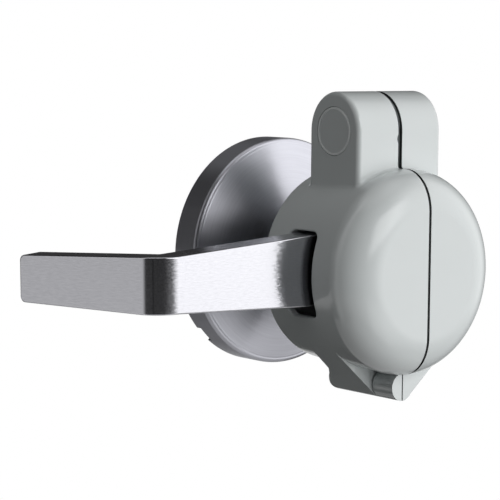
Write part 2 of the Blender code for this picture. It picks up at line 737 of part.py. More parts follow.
def cut_latch_holes(shell, side):
    hole = circle((0, ARCH_HEIGHT), BUTTON_RADIUS + GAP, PLAIN_STEPS)
    button_hole = prism("button_hole", hole, "X", -BLOCK_WIDTH, -(BLOCK_INNER - GAP))
    button_hole.data.transform(latch_turn(side))
    cut(shell, button_hole)
    pin = circle((PIVOT_X, PIVOT_Z), HOOK_PIN_RADIUS + GAP, PIN_STEPS)
    low = ear_spans()[0][0] - GAP
    high = ear_spans()[1][1] + GAP
    cut(shell, latch_prism(side, "pin_hole", pin, low, high))


def make_shell(name, side):
    shell = turned(name, drum_profile(0), ROUND_STEPS)
    join(shell, make_block())
    back, front = keel_span(side)
    web_back = back + (KNUCKLE_TAIL if side < 0 else 0)
    join(shell, prism("keel", keel_wedge(side), "Y", web_back, front))
    top = 2 * ARCH_HEIGHT
    keep(shell, half_space(side, SPLIT_GAP, -top, top))
    cut(shell, half_space(-side, -BLOCK_SPLIT_GAP, SHELL_RADIUS, top))
    join(shell, prism("barrel", circle((0, HINGE_Z), BARREL_RADIUS, SMALL_STEPS), "Y", back, front))

    room = prism("room", block_outline(SHELL_WALL, 0), "X", -BLOCK_INNER, BLOCK_INNER)
    cut(room, turned("roof", drum_profile(0), ROUND_STEPS))
    cut(shell, room)
    add_latch_features(shell, side)
    cut(shell, turned("cavity", drum_profile(SHELL_WALL), ROUND_STEPS))
    add_ribs(shell, side)
    cut_latch_holes(shell, side)

    other_back, other_front = keel_span(-side)
    swing = circle((0, HINGE_Z), BARREL_RADIUS + GAP, SMALL_STEPS)
    cut(shell, prism("swing", swing, "Y", other_back - GAP, other_front + GAP))
    pin_front = KEEL_FRONT - KNUCKLE_END_WALL
    bore = circle((0, HINGE_Z), HINGE_PIN_RADIUS + GAP, PIN_STEPS)
    cut(shell, prism("bore", bore, "Y", KEEL_BACK - GAP, pin_front))
    opening = circle((0, SHELL_DROP), APERTURE_RADIUS, PLAIN_STEPS)
    cut(shell, prism("opening", opening, "Y", SHELL_BACK - GAP, SHELL_BACK + SHELL_WALL + GAP))
    return shell


def make_left_shell():
    shell = make_shell("left_shell", SIDES["left"])
    join(shell, lip_ring(LIP_INSET, SHELL_WALL - GAP, -SHELL_WALL, LIP_REACH, LIP_START))
    outline = rounded_box(WINDOW_WIDTH / 2, WINDOW_HEIGHT / 2, WINDOW_CORNER, CORNER_STEPS)
    window = [(WINDOW_CENTRE + depth, z) for depth, z in outline]
    cut(shell, prism("window", window, "X", -2 * SHELL_RADIUS, -SHELL_RADIUS / 2))
    shell.location = LOCK_ORIGIN
    finish(shell, GREY_PLASTIC)


def make_right_shell(holder):
    shell = make_shell("right_shell", SIDES["right"])
    cut(shell, lip_ring(LIP_INSET - GAP, 2 * SHELL_WALL, 0, LIP_REACH + GAP, LIP_START - GAP))
    half = KNUCKLE_GROOVE / 2
    low = (-half, KEEL_FRONT - KNUCKLE_GROOVE, HINGE_Z - BARREL_RADIUS - GAP)
    cut(shell, box("groove", low, (half, KEEL_FRONT + GAP, HINGE_Z + BARREL_RADIUS)))
    set_origin(shell, Vector((0, 0, HINGE_Z)))
    shell.location += LOCK_ORIGIN
    parent_to(shell, holder)
    finish(shell, GREY_PLASTIC)


def make_hinge_pin():
    front = KEEL_FRONT - KNUCKLE_END_WALL - GAP
    outline = circle((0, HINGE_Z), HINGE_PIN_RADIUS, PIN_STEPS)
    pin = prism("hinge_pin", outline, "Y", KEEL_BACK + GAP, front)
    pin.location = LOCK_ORIGIN
    finish(pin, STEEL)


def make_grip(word, side, holder):
    """Half ring with a groove that sits on the edge of the back wall's opening."""
    inner = COLLAR_RADIUS + GAP
    groove = APERTURE_RADIUS - GAP
    lip = APERTURE_RADIUS + GRIP_LIP
    rear = SHELL_BACK - GAP
    front = SHELL_BACK + SHELL_WALL + GAP
    profile = [
        (inner, rear - GRIP_LIP_THICKNESS), (lip, rear - GRIP_LIP_THICKNESS), (lip, rear), (groove, rear),
        (groove, front), (lip, front), (lip, front + GRIP_LIP_THICKNESS), (inner, front + GRIP_LIP_THICKNESS),
    ]
    grip = turned(f"{word}_grip", profile, PLAIN_STEPS, closed=True)
    keep(grip, half_space(side, SPLIT_GAP, -SHELL_FRONT, SHELL_FRONT))
    if holder:
        set_origin(grip, holder.location)
        parent_to(grip, holder)
    finish(grip, RUBBER)


def button_mesh():
    """Round cap with a raised ring, a flange behind the block's wall and a pusher for the hook."""
    flange = BUTTON_RADIUS + BUTTON_FLANGE
    face = BLOCK_WIDTH / 2
    rim = BUTTON_RADIUS - BUTTON_EDGE
    profile = [
        (0, 0), (rim - BUTTON_RING, 0), (rim - BUTTON_RING / 2, -BUTTON_RING_RISE), (rim, -BUTTON_RING_RISE),
        (BUTTON_RADIUS, BUTTON_EDGE), (BUTTON_RADIUS, face - BLOCK_INNER + GAP),
        (flange, face - BLOCK_INNER + GAP), (flange, face - FLANGE_INNER), (0, face - FLANGE_INNER),
    ]
    button = turned("button", profile, PLAIN_STEPS)
    low, high = hook_span()
    half = PUSHER_HEIGHT / 2
    spot = face - FLANGE_INNER
    outline = [(low, -half), (high, -half), (high, half), (low, half)]
    button.data.transform(Matrix.Rotation(pi / 2, 4, "Z"))
    join(button, prism("pusher", outline, "X", spot - GAP, spot + PUSHER_LENGTH))
    return button


def hook_mesh():
    """Bell crank: an upright arm for the button, and an arm across the split that ends in a barb."""
    top = KEEPER_Z - PIVOT_Z + CATCH_DEPTH
    inner = BARB_INNER - PIVOT_X
    outer = BARB_OUTER - PIVOT_X
    arm_top = PIVOT_DROP + PUSHER_HEIGHT / 2
    half = HOOK_ARM / 2
    boss_start = pi - asin(half / HOOK_BOSS_RADIUS)
    boss_end = 2 * pi - asin(HOOK_UNDER / HOOK_BOSS_RADIUS)
    outline = arc((0, 0), HOOK_BOSS_RADIUS, boss_start, boss_end, BEND_STEPS)
    outline += [(outer, 0), (outer, top - HOOK_ARM), (inner + HOOK_TIP, top), (inner, top)]
    outline += [(inner, HOOK_OVER), (half, HOOK_OVER)]
    outline += [(half, arm_top), (-half, arm_top), (-half, HOOK_BOSS_RADIUS)]
    low, high = hook_span()
    hook = prism("hook", outline, "Y", low, high)
    hole = circle((0, 0), HOOK_PIN_RADIUS + GAP, PIN_STEPS)
    cut(hook, prism("hole", hole, "Y", low - GAP, high + GAP))
    return hook


def hook_underside():
    """Height of the hook's lower edge above the lock's axis, where its spring stands."""
    start = sqrt(HOOK_BOSS_RADIUS ** 2 - HOOK_UNDER ** 2)
    run = (LATCH_SPRING_X - PIVOT_X - start) / (BARB_OUTER - PIVOT_X - start)
    return PIVOT_Z - HOOK_UNDER * (1 - run)


def make_latch(word, side, holder):
    """Button, hook, pivot pin and spring of one half, built for the left and turned round for the right."""
    turn = latch_turn(side)
    low = ear_spans()[0][0]
    high = ear_spans()[1][1]
    pin = prism("pin", circle((0, 0), HOOK_PIN_RADIUS, PIN_STEPS), "Y", low, high)
    seat_top = LATCH_SEAT_Z + GAP + LATCH_SPRING_WIRE
    arm_under = hook_underside() - GAP - LATCH_SPRING_WIRE
    steps = round(CURL_STEPS * LATCH_SPRING_TURNS)
    path = []
    for i in range(steps + 1):
        angle = 2 * pi * LATCH_SPRING_TURNS * i / steps
        rise = seat_top + (arm_under - seat_top) * i / steps
        path.append(Vector((LATCH_SPRING_RADIUS * cos(angle), LATCH_SPRING_RADIUS * sin(angle), rise)))
    report_self_gap(f"{word}_spring", path, LATCH_SPRING_WIRE)
    spring = tube("spring", path, LATCH_SPRING_WIRE)
    pieces = [
        ("button", button_mesh(), Vector((-BLOCK_WIDTH / 2, 0, ARCH_HEIGHT)), GREY_PLASTIC),
        ("hook", hook_mesh(), Vector((PIVOT_X, 0, PIVOT_Z)), LATCH_PLASTIC),
        ("hook_pin", pin, Vector((PIVOT_X, 0, PIVOT_Z)), STEEL),
        ("spring", spring, Vector((LATCH_SPRING_X, -HOOK_OFFSET, 0)), SPRING_STEEL),
    ]
    for kind, item, spot, look in pieces:
        item.name = f"{word}_{kind}"
        item.location = turn @ spot + LOCK_ORIGIN
        item.rotation_euler = turn.to_euler()
        if holder:
            parent_to(item, holder)
        finish(item, look)


def main():
    clear_scene()
    make_rose()
    make_mount_plate()
    make_collar()
    make_collar_screws()
    make_lever()
    make_return_cam()
    make_retaining_ring()
    make_return_spring()
    right_half = empty_at("right_half", LOCK_ORIGIN + Vector((0, 0, HINGE_Z)))
    holders = {"left": None, "right": right_half}
    make_left_shell()
    make_right_shell(right_half)
    make_hinge_pin()
    for word, side in SIDES.items():
        make_grip(word, side, holders[word])
        make_latch(word, side, holders[word])


main()
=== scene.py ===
import bpy
import bmesh
from math import acos, asin, cos, pi, radians, sin, sqrt
from mathutils import Matrix, Vector


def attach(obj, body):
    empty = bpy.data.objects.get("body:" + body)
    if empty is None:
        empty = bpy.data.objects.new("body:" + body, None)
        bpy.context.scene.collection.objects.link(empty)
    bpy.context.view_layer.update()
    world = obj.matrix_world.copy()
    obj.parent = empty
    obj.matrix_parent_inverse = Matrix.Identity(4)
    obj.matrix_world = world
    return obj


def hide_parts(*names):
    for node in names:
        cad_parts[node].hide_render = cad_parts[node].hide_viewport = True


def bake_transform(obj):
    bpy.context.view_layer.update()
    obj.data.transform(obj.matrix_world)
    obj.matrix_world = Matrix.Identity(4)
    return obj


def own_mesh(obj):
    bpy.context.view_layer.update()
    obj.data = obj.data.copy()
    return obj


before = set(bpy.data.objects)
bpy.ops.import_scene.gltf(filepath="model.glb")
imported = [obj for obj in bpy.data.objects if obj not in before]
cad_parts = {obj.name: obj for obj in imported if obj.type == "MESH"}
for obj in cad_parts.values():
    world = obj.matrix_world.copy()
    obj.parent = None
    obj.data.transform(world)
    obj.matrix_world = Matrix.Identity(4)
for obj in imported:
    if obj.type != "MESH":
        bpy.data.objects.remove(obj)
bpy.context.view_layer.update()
print("frame loaded:", len(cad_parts), "nodes")

mm = 0.001
lockDrop = -2 * mm  # the lock hangs this far below the lever's axis
gap = 0.3 * mm      # running clearance between pieces
wellPast = 0.2      # a size that reaches past the whole part, for cutters
corners = ((1, 1), (-1, 1), (-1, -1), (1, -1))  # of a rectangle, as an outline meets them


# small tools

def hexColour(code):
    parts = [int(code[i:i + 2], 16) / 255 for i in (0, 2, 4)]
    return tuple(c / 12.92 if c <= 0.04045 else ((c + 0.055) / 1.055) ** 2.4 for c in parts) + (1,)


def addNode(tree, kind, values=None, links=None, **settings):
    node = tree.nodes.new(kind)
    for name, value in settings.items():
        setattr(node, name, value)
    for name, value in (values or {}).items():
        node.inputs[name].default_value = value
    for name, source in (links or {}).items():
        tree.links.new(source, node.inputs[name])
    return node


def arc(centre, radius, start, end, steps):
    wide, high = radius if isinstance(radius, tuple) else (radius, radius)
    turn = (end - start) / steps
    angles = [start + turn * i for i in range(steps + 1)]
    return [(centre[0] + wide * cos(angle), centre[1] + high * sin(angle)) for angle in angles]


def ring(centre, radius, steps):
    return arc(centre, radius, 0, 2 * pi, steps)[:-1]


def rectangle(left, low, right, high):
    return [(left, low), (right, low), (right, high), (left, high)]


def spread(first, last, steps):
    return [first + (last - first) * i / steps for i in range(steps + 1)]


def addObject(name, data):
    piece = bpy.data.objects.new(name, data)
    bpy.context.collection.objects.link(piece)
    return piece


def activate(piece):
    bpy.ops.object.select_all(action="DESELECT")
    piece.select_set(True)
    bpy.context.view_layer.objects.active = piece


def editMode(piece):
    activate(piece)
    bpy.ops.object.mode_set(mode="EDIT")


def objectMode():
    bpy.ops.object.mode_set(mode="OBJECT")


def pick(piece, kind, test):
    # in edit mode, selects only the faces or edges that pass a test
    bm = bmesh.from_edit_mesh(piece.data)
    chosen = [part for part in getattr(bm, kind) if test(part)]
    bpy.ops.mesh.select_all(action="DESELECT")
    for part in chosen:
        part.select_set(True)
    bmesh.update_edit_mesh(piece.data)


def drawLine(name, points):
    # one vertex, extruded from point to point; stays in edit mode with everything selected
    bpy.ops.object.select_all(action="DESELECT")
    bpy.ops.mesh.primitive_plane_add(size=mm, location=(0, 0, 0))
    piece = bpy.context.object
    piece.name = name
    piece.data.name = name
    bpy.ops.object.mode_set(mode="EDIT")
    bpy.ops.mesh.select_all(action="SELECT")
    bpy.ops.mesh.merge(type="CENTER")
    points = [Vector(p) for p in points]
    bpy.ops.transform.translate(value=points[0])
    for here, there in zip(points, points[1:]):
        bpy.ops.mesh.extrude_vertices_move(TRANSFORM_OT_translate={"value": there - here})
    bpy.ops.mesh.select_all(action="SELECT")
    return piece


def cleanMesh():
    bpy.ops.mesh.select_all(action="SELECT")
    bpy.ops.mesh.remove_doubles(threshold=0.002 * mm)
    bpy.ops.mesh.normals_make_consistent(inside=False)


def lathe(name, profile, steps, closed=False):
    # profile is (radius, depth) pairs, spun about the lever's axis; depth runs towards the user
    points = [(radius, -depth, 0) for radius, depth in profile]
    piece = drawLine(name, points + points[:1] if closed else points)
    bpy.ops.mesh.spin(steps=steps, angle=2 * pi, center=(0, 0, 0), axis=(0, 1, 0))
    cleanMesh()
    bpy.ops.mesh.select_all(action="DESELECT")
    bpy.ops.mesh.select_non_manifold()
    if any(e.select for e in bmesh.from_edit_mesh(piece.data).edges):
        bpy.ops.mesh.edge_face_add()
        cleanMesh()
    objectMode()
    return piece


def slab(name, outline, axis, low, high):
    # a flat outline drawn across an axis and extruded along it
    place = {"X": lambda a, b, at: (at, -a, b),
             "Y": lambda a, b, at: (a, -at, b),
             "Z": lambda a, b, at: (a, -b, at)}[axis]
    piece = drawLine(name, [place(a, b, low) for a, b in outline])
    bpy.ops.mesh.edge_face_add()
    bpy.ops.mesh.extrude_region_move(
        TRANSFORM_OT_translate={"value": Vector(place(0, 0, high)) - Vector(place(0, 0, low))})
    cleanMesh()
    objectMode()
    return piece


def block(name, low, high):
    # low and high count depth towards the user, as slab does
    return slab(name, rectangle(low[0], low[2], high[0], high[2]), "Y", low[1], high[1])


def applyAll(piece):
    activate(piece)
    for modifier in list(piece.modifiers):
        bpy.ops.object.modifier_apply(modifier=modifier.name)


def combine(piece, tool, operation):
    step = piece.modifiers.new(operation.title(), "BOOLEAN")
    step.operation = operation
    step.object = tool
    step.solver = "EXACT"
    applyAll(piece)
    bpy.data.objects.remove(tool)


def cut(piece, tool):
    combine(piece, tool, "DIFFERENCE")


def join(piece, tool):
    combine(piece, tool, "UNION")


def roundEdges(piece, width, segments=3, angle=50):
    step = piece.modifiers.new("Bevel", "BEVEL")
    step.width = width
    step.segments = segments
    step.limit_method = "ANGLE"
    step.angle_limit = radians(angle)
    step.miter_outer = "MITER_ARC"
    step.use_clamp_overlap = True
    applyAll(piece)


def finishPiece(piece, body, material, nodes, angle=32):
    activate(piece)
    bpy.ops.object.shade_smooth_by_angle(angle=radians(angle))
    flats = piece.modifiers.new("Flats", "WEIGHTED_NORMAL")  # large flat faces stay flat to the eye
    flats.keep_sharp = True
    applyAll(piece)
    piece.data.materials.clear()
    piece.data.materials.append(material)
    if body:  # a blended piece rides on no single body
        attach(piece, body)
    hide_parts(*nodes)


# materials

def newMaterial(name):
    material = bpy.data.materials.new(name)
    material.use_nodes = True
    return material, material.node_tree, material.node_tree.nodes["Principled BSDF"]


def mouldedPlastic(name, colour, roughness):
    # injection-moulded plastic: a close skin with a faint waviness from the tool
    # waves about 17 mm long, and a skin of 0.7 mm, coarse enough to show
    vary = 0.03
    material, tree, shader = newMaterial(name)
    coords = addNode(tree, "ShaderNodeTexCoord")
    sink = addNode(tree, "ShaderNodeTexNoise", {"Scale": 60, "Detail": 2}, {"Vector": coords.outputs["Object"]})
    skin = addNode(tree, "ShaderNodeTexNoise", {"Scale": 1400, "Detail": 3}, {"Vector": coords.outputs["Object"]})
    tone = addNode(tree, "ShaderNodeMix", {"A": hexColour(colour[0]), "B": hexColour(colour[1])},
                   {"Factor": sink.outputs["Fac"]}, data_type="RGBA")
    rough = addNode(tree, "ShaderNodeMapRange", {"To Min": roughness - vary, "To Max": roughness + vary},
                    {"Value": skin.outputs["Fac"]})
    bump = addNode(tree, "ShaderNodeBump", {"Strength": 0.06, "Distance": 0.3 * mm}, {"Height": sink.outputs["Fac"]})
    tree.links.new(tone.outputs[2], shader.inputs["Base Color"])
    tree.links.new(rough.outputs["Result"], shader.inputs["Roughness"])
    tree.links.new(bump.outputs["Normal"], shader.inputs["Normal"])
    shader.inputs["IOR"].default_value = 1.53
    return material


# painted shade for the split seam; the boxes are the drum and the latch block in the plane of the split: centre, half
# sizes, corner radius
splitShade = {
    "colour": "2b2c2f", "near": 1.1 * mm, "facing": 0.9, "fade": (1.0 * mm, 1.5 * mm), "blockFrom": 35 * mm,
    "boxes": (((62.25 * mm, 0), (23.75 * mm, 35 * mm), 13 * mm),
              ((58.7 * mm, 30.4 * mm), (12.3 * mm, 30.4 * mm), 12.3 * mm)),
}


def paintSplitShade(material):
    # painted shade: the outer millimetre of the faces that meet along the split is darkened, standing in for the shadow
    # inside the seam
    tree = material.node_tree
    shader = tree.nodes["Principled BSDF"]
    plain = shader.inputs["Base Color"].links[0].from_socket
    coords = addNode(tree, "ShaderNodeTexCoord")
    facing = addNode(tree, "ShaderNodeSeparateXYZ", links={0: coords.outputs["Normal"]})
    place = addNode(tree, "ShaderNodeSeparateXYZ", links={0: coords.outputs["Object"]})
    depths = []
    for centre, half, r in splitShade["boxes"]:
        # depth below the rim of a rounded box that stands in the plane of the split
        corner = (0, half[0] - r, half[1] - r)
        at = coords.outputs["Object"]
        for operation, amount in (("SUBTRACT", (0, -centre[0], centre[1] + lockDrop)), ("ABSOLUTE", (0, 0, 0)),
                                  ("SUBTRACT", corner), ("MAXIMUM", (0, 0, 0)), ("MULTIPLY", (0, 1, 1))):
            at = addNode(tree, "ShaderNodeVectorMath", {1: amount}, {0: at}, operation=operation).outputs["Vector"]
        reach = addNode(tree, "ShaderNodeVectorMath", links={0: at}, operation="LENGTH")
        depths.append(addNode(tree, "ShaderNodeMath", {0: r}, {1: reach.outputs["Value"]}, operation="SUBTRACT"))
    onBlock = addNode(tree, "ShaderNodeMath", {1: splitShade["blockFrom"] + lockDrop}, {0: place.outputs["Z"]},
                      operation="GREATER_THAN")
    deep = addNode(tree, "ShaderNodeMix", links={"Factor": onBlock.outputs[0], "A": depths[0].outputs[0],
                                                 "B": depths[1].outputs[0]}, data_type="FLOAT")
    fadeStart, fadeEnd = splitShade["fade"]
    share = addNode(tree, "ShaderNodeMapRange", {"From Min": fadeStart, "From Max": fadeEnd, "To Min": 1, "To Max": 0},
                    {"Value": deep.outputs[0]}).outputs["Result"]
    # only on faces that look along x and lie at the split
    for axis, limit, test in ((facing.outputs["X"], splitShade["facing"], "GREATER_THAN"),
                              (place.outputs["X"], splitShade["near"], "LESS_THAN")):
        size = addNode(tree, "ShaderNodeMath", links={0: axis}, operation="ABSOLUTE")
        chosen = addNode(tree, "ShaderNodeMath", {1: limit}, {0: size.outputs[0]}, operation=test)
        share = addNode(tree, "ShaderNodeMath", links={0: share, 1: chosen.outputs[0]}, operation="MULTIPLY").outputs[0]
    # mixes the painted shade colour into the plastic's own colour
    blend = addNode(tree, "ShaderNodeMix", {"B": hexColour(splitShade["colour"])}, {"Factor": share, "A": plain},
                    data_type="RGBA")
    tree.links.new(blend.outputs[2], shader.inputs["Base Color"])


def brushedMetal(name, colour, roughness, grainOf, sway=None, brushed=0):
    # satin chrome and plain steel: fine lines in one direction, which blur reflections across themselves
    vary = 0.06
    material, tree, shader = newMaterial(name)
    grain = addNode(tree, "ShaderNodeTexNoise", {"Scale": 1, "Detail": 4, "Roughness": 0.65}, {"Vector": grainOf(tree)})
    tone = addNode(tree, "ShaderNodeMix", {"A": hexColour(colour[0]), "B": hexColour(colour[1])},
                   {"Factor": grain.outputs["Fac"]}, data_type="RGBA")
    rough = addNode(tree, "ShaderNodeMapRange", {"To Min": roughness - vary, "To Max": roughness + vary},
                    {"Value": grain.outputs["Fac"]})
    bump = addNode(tree, "ShaderNodeBump", {"Strength": 0.1, "Distance": 0.02 * mm}, {"Height": grain.outputs["Fac"]})
    if sway:
        # each line leans a little its own way, so the edge of a reflection frays along the brushing
        facing = addNode(tree, "ShaderNodeNewGeometry")
        centred = addNode(tree, "ShaderNodeMath", {1: 0.5}, {0: grain.outputs["Fac"]}, operation="SUBTRACT")
        lean = addNode(tree, "ShaderNodeVectorMath", links={0: sway(tree), "Scale": centred.outputs[0]},
                       operation="SCALE")
        tilted = addNode(tree, "ShaderNodeVectorMath", links={0: facing.outputs["Normal"], 1: lean.outputs["Vector"]},
                         operation="ADD")
        straight = addNode(tree, "ShaderNodeVectorMath", links={0: tilted.outputs["Vector"]}, operation="NORMALIZE")
        tree.links.new(straight.outputs["Vector"], bump.inputs["Normal"])
    tree.links.new(tone.outputs[2], shader.inputs["Base Color"])
    tree.links.new(rough.outputs["Result"], shader.inputs["Roughness"])
    tree.links.new(bump.outputs["Normal"], shader.inputs["Normal"])
    shader.inputs["Metallic"].default_value = 1
    shader.inputs["Anisotropic"].default_value = brushed
    shader.inputs["Anisotropic Rotation"].default_value = 0.25  # highlights stretch across the lines
    return material


def lengthwise(tree):
    # the lever's own attribute: x along the bar, y and z across it; lines 0.4 mm apart, coarse enough to show
    along = addNode(tree, "ShaderNodeAttribute", attribute_name="brushing")
    return addNode(tree, "ShaderNodeMapping", {"Scale": (420, 2400, 2400)},
                   {"Vector": along.outputs["Vector"]}).outputs["Vector"]


def alongBar(tree):
    # how far a line of the lever leans, along the bar
    return addNode(tree, "ShaderNodeCombineXYZ", {"X": 0.16}).outputs["Vector"]


def roundAndRound(tree):
    # turned brushing about the lever's axis: lines 0.6 mm apart across the radius, long round it
    coords = addNode(tree, "ShaderNodeTexCoord")
    parts = addNode(tree, "ShaderNodeSeparateXYZ", links={0: coords.outputs["Object"]})
    flat = addNode(tree, "ShaderNodeCombineXYZ", links={"X": parts.outputs["X"], "Y": parts.outputs["Z"]})
    radius = addNode(tree, "ShaderNodeVectorMath", links={0: flat.outputs["Vector"]}, operation="LENGTH")
    heading = addNode(tree, "ShaderNodeVectorMath", links={0: flat.outputs["Vector"]}, operation="NORMALIZE")
    turn = addNode(tree, "ShaderNodeVectorMath", {1: (1.2, 1.2, 1.2)}, {0: heading.outputs["Vector"]},
                   operation="MULTIPLY")
    fine = addNode(tree, "ShaderNodeMath", {1: 1700}, {0: radius.outputs["Value"]}, operation="MULTIPLY")
    lift = addNode(tree, "ShaderNodeCombineXYZ", links={"Z": fine.outputs["Value"]})
    return addNode(tree, "ShaderNodeVectorMath", links={0: turn.outputs["Vector"], 1: lift.outputs["Vector"]},
                   operation="ADD").outputs["Vector"]


def roundTheAxis(tree):
    # how far a line of the rose leans, round the lever's axis
    coords = addNode(tree, "ShaderNodeTexCoord")
    around = addNode(tree, "ShaderNodeVectorMath", {1: (0, 1, 0)}, {0: coords.outputs["Object"]},
                     operation="CROSS_PRODUCT")
    unit = addNode(tree, "ShaderNodeVectorMath", links={0: around.outputs["Vector"]}, operation="NORMALIZE")
    return addNode(tree, "ShaderNodeVectorMath", {"Scale": 0.1}, {0: unit.outputs["Vector"]},
                   operation="SCALE").outputs["Vector"]


def plainGrain(tree):
    # even grit of 0.7 mm, coarse enough to show
    coords = addNode(tree, "ShaderNodeTexCoord")
    return addNode(tree, "ShaderNodeMapping", {"Scale": (1500, 1500, 1500)},
                   {"Vector": coords.outputs["Object"]}).outputs["Vector"]


def rubberCompound(name, colour):
    # moulded nitrile rubber: dull, slightly mottled in spots of about 1 mm
    material, tree, shader = newMaterial(name)
    coords = addNode(tree, "ShaderNodeTexCoord")
    skin = addNode(tree, "ShaderNodeTexNoise", {"Scale": 900, "Detail": 4}, {"Vector": coords.outputs["Object"]})
    tone = addNode(tree, "ShaderNodeMix", {"A": hexColour(colour[0]), "B": hexColour(colour[1])},
                   {"Factor": skin.outputs["Fac"]}, data_type="RGBA")
    bump = addNode(tree, "ShaderNodeBump", {"Strength": 0.2, "Distance": 0.05 * mm}, {"Height": skin.outputs["Fac"]})
    tree.links.new(tone.outputs[2], shader.inputs["Base Color"])
    tree.links.new(bump.outputs["Normal"], shader.inputs["Normal"])
    shader.inputs["Roughness"].default_value = 0.72
    return material


absGrey, absGloss = ("d3d8d8", "d7dcdc"), 0.11
satin = 0.75  # how far the brushing stretches a highlight
greyAbs = mouldedPlastic("grey moulded ABS", absGrey, absGloss)
# the faces along the split get painted shade where the seam's shadow falls
paintSplitShade(greyAbs)
latchAcetal = mouldedPlastic("natural acetal", ("b4b8b6", "bcc0be"), 0.42)
leverChrome = brushedMetal("satin chrome, brushed lengthwise", ("b8b8bd", "dcdce1"), 0.19, lengthwise, alongBar, satin)
roseChrome = brushedMetal("satin chrome, turned", ("b0b0b8", "cecfd6"), 0.34, roundAndRound, roundTheAxis, satin)
platedSteel = brushedMetal("zinc-plated steel", ("9a9c9e", "b2b4b6"), 0.36, plainGrain)
springWire = brushedMetal("oiled spring wire", ("6e7073", "86888b"), 0.3, plainGrain)
blackRubber = rubberCompound("black nitrile rubber", ("16171a", "202225"))
print("materials made")


# rose, the round cover against the door
rose = {
    "radius": 41 * mm, "rim": 11.5 * mm, "crown": 5.63 * mm, "edge": 1.5 * mm, "wall": 2 * mm,
    "collar": 12 * mm, "bead": 0.8 * mm, "groove": 0.06 * mm, "steps": 192,
    "slot": (7 * mm, 2.2 * mm, 226),  # length, depth and place round the rim in degrees
}


def roseFront(radius):
    # the front is a shallow cone
    share = (radius - rose["collar"]) / (rose["radius"] - rose["edge"] - rose["collar"])
    return rose["rim"] + rose["crown"] * (1 - share)


def makeRose():
    crown = rose["radius"] - rose["edge"]
    hole = rose["collar"] + gap
    outside = [(rose["radius"], 0)] + arc((crown, rose["rim"] - rose["edge"]), rose["edge"], 0, pi / 2, steps=8)
    # a fine groove between the rim's rounded bead and the cone
    foot = crown - rose["bead"]
    outside += [(crown - rose["bead"] / 3, roseFront(crown - rose["bead"] / 3) - rose["groove"])]
    outside += [(crown - rose["bead"] * 2 / 3, roseFront(foot) - rose["groove"])]
    outside += [(radius, roseFront(radius)) for radius in spread(foot, hole, steps=28)]
    wall = rose["radius"] - rose["wall"]
    inside = [(radius, roseFront(radius) - rose["wall"]) for radius in spread(hole, wall, steps=12)]
    piece = lathe("rose_cover", outside + inside + [(wall, 0)], rose["steps"], closed=True)
    length, deep, angle = rose["slot"]
    slot = block("slot", (wall - rose["wall"], -gap, -length / 2), (rose["radius"] + rose["wall"], deep, length / 2))
    slot.data.transform(Matrix.Rotation(-radians(angle), 4, "Y"))
    cut(piece, slot)
    # the highlight stretches across the turned lines
    tree = roseChrome.node_tree
    tangent = addNode(tree, "ShaderNodeTangent", direction_type="RADIAL", axis="Y")
    tree.links.new(tangent.outputs["Tangent"], tree.nodes["Principled BSDF"].inputs["Tangent"])
    finishPiece(piece, "base", roseChrome, ["rose"], angle=24)


makeRose()
print("rose made")


# lever: a flat bar that bends back to the door, on a round hub and shank
lever = {
    "front": 63 * mm, "thick": 10 * mm, "heights": (27 * mm, 18.4 * mm, 15.5 * mm), "reach": 91.6 * mm,
    "tip": (110.88 * mm, 12.2 * mm), "bend": 5.6 * mm, "bendSteps": 28, "edge": 0.5 * mm, "droop": 1.0,
    "tipRound": 1.8 * mm, "shank": 9 * mm, "neck": 12 * mm, "shoulder": 46.3 * mm, "camFront": 9.42 * mm,
    "tail": 0.5 * mm, "flats": 1.2 * mm, "groove": (7 * mm, 0.8 * mm, 9.3 * mm, 2.4 * mm),
    "socket": (8 * mm, 0.2 * mm, 22 * mm), "uvScale": 5,  # the socket's side, back and front
}


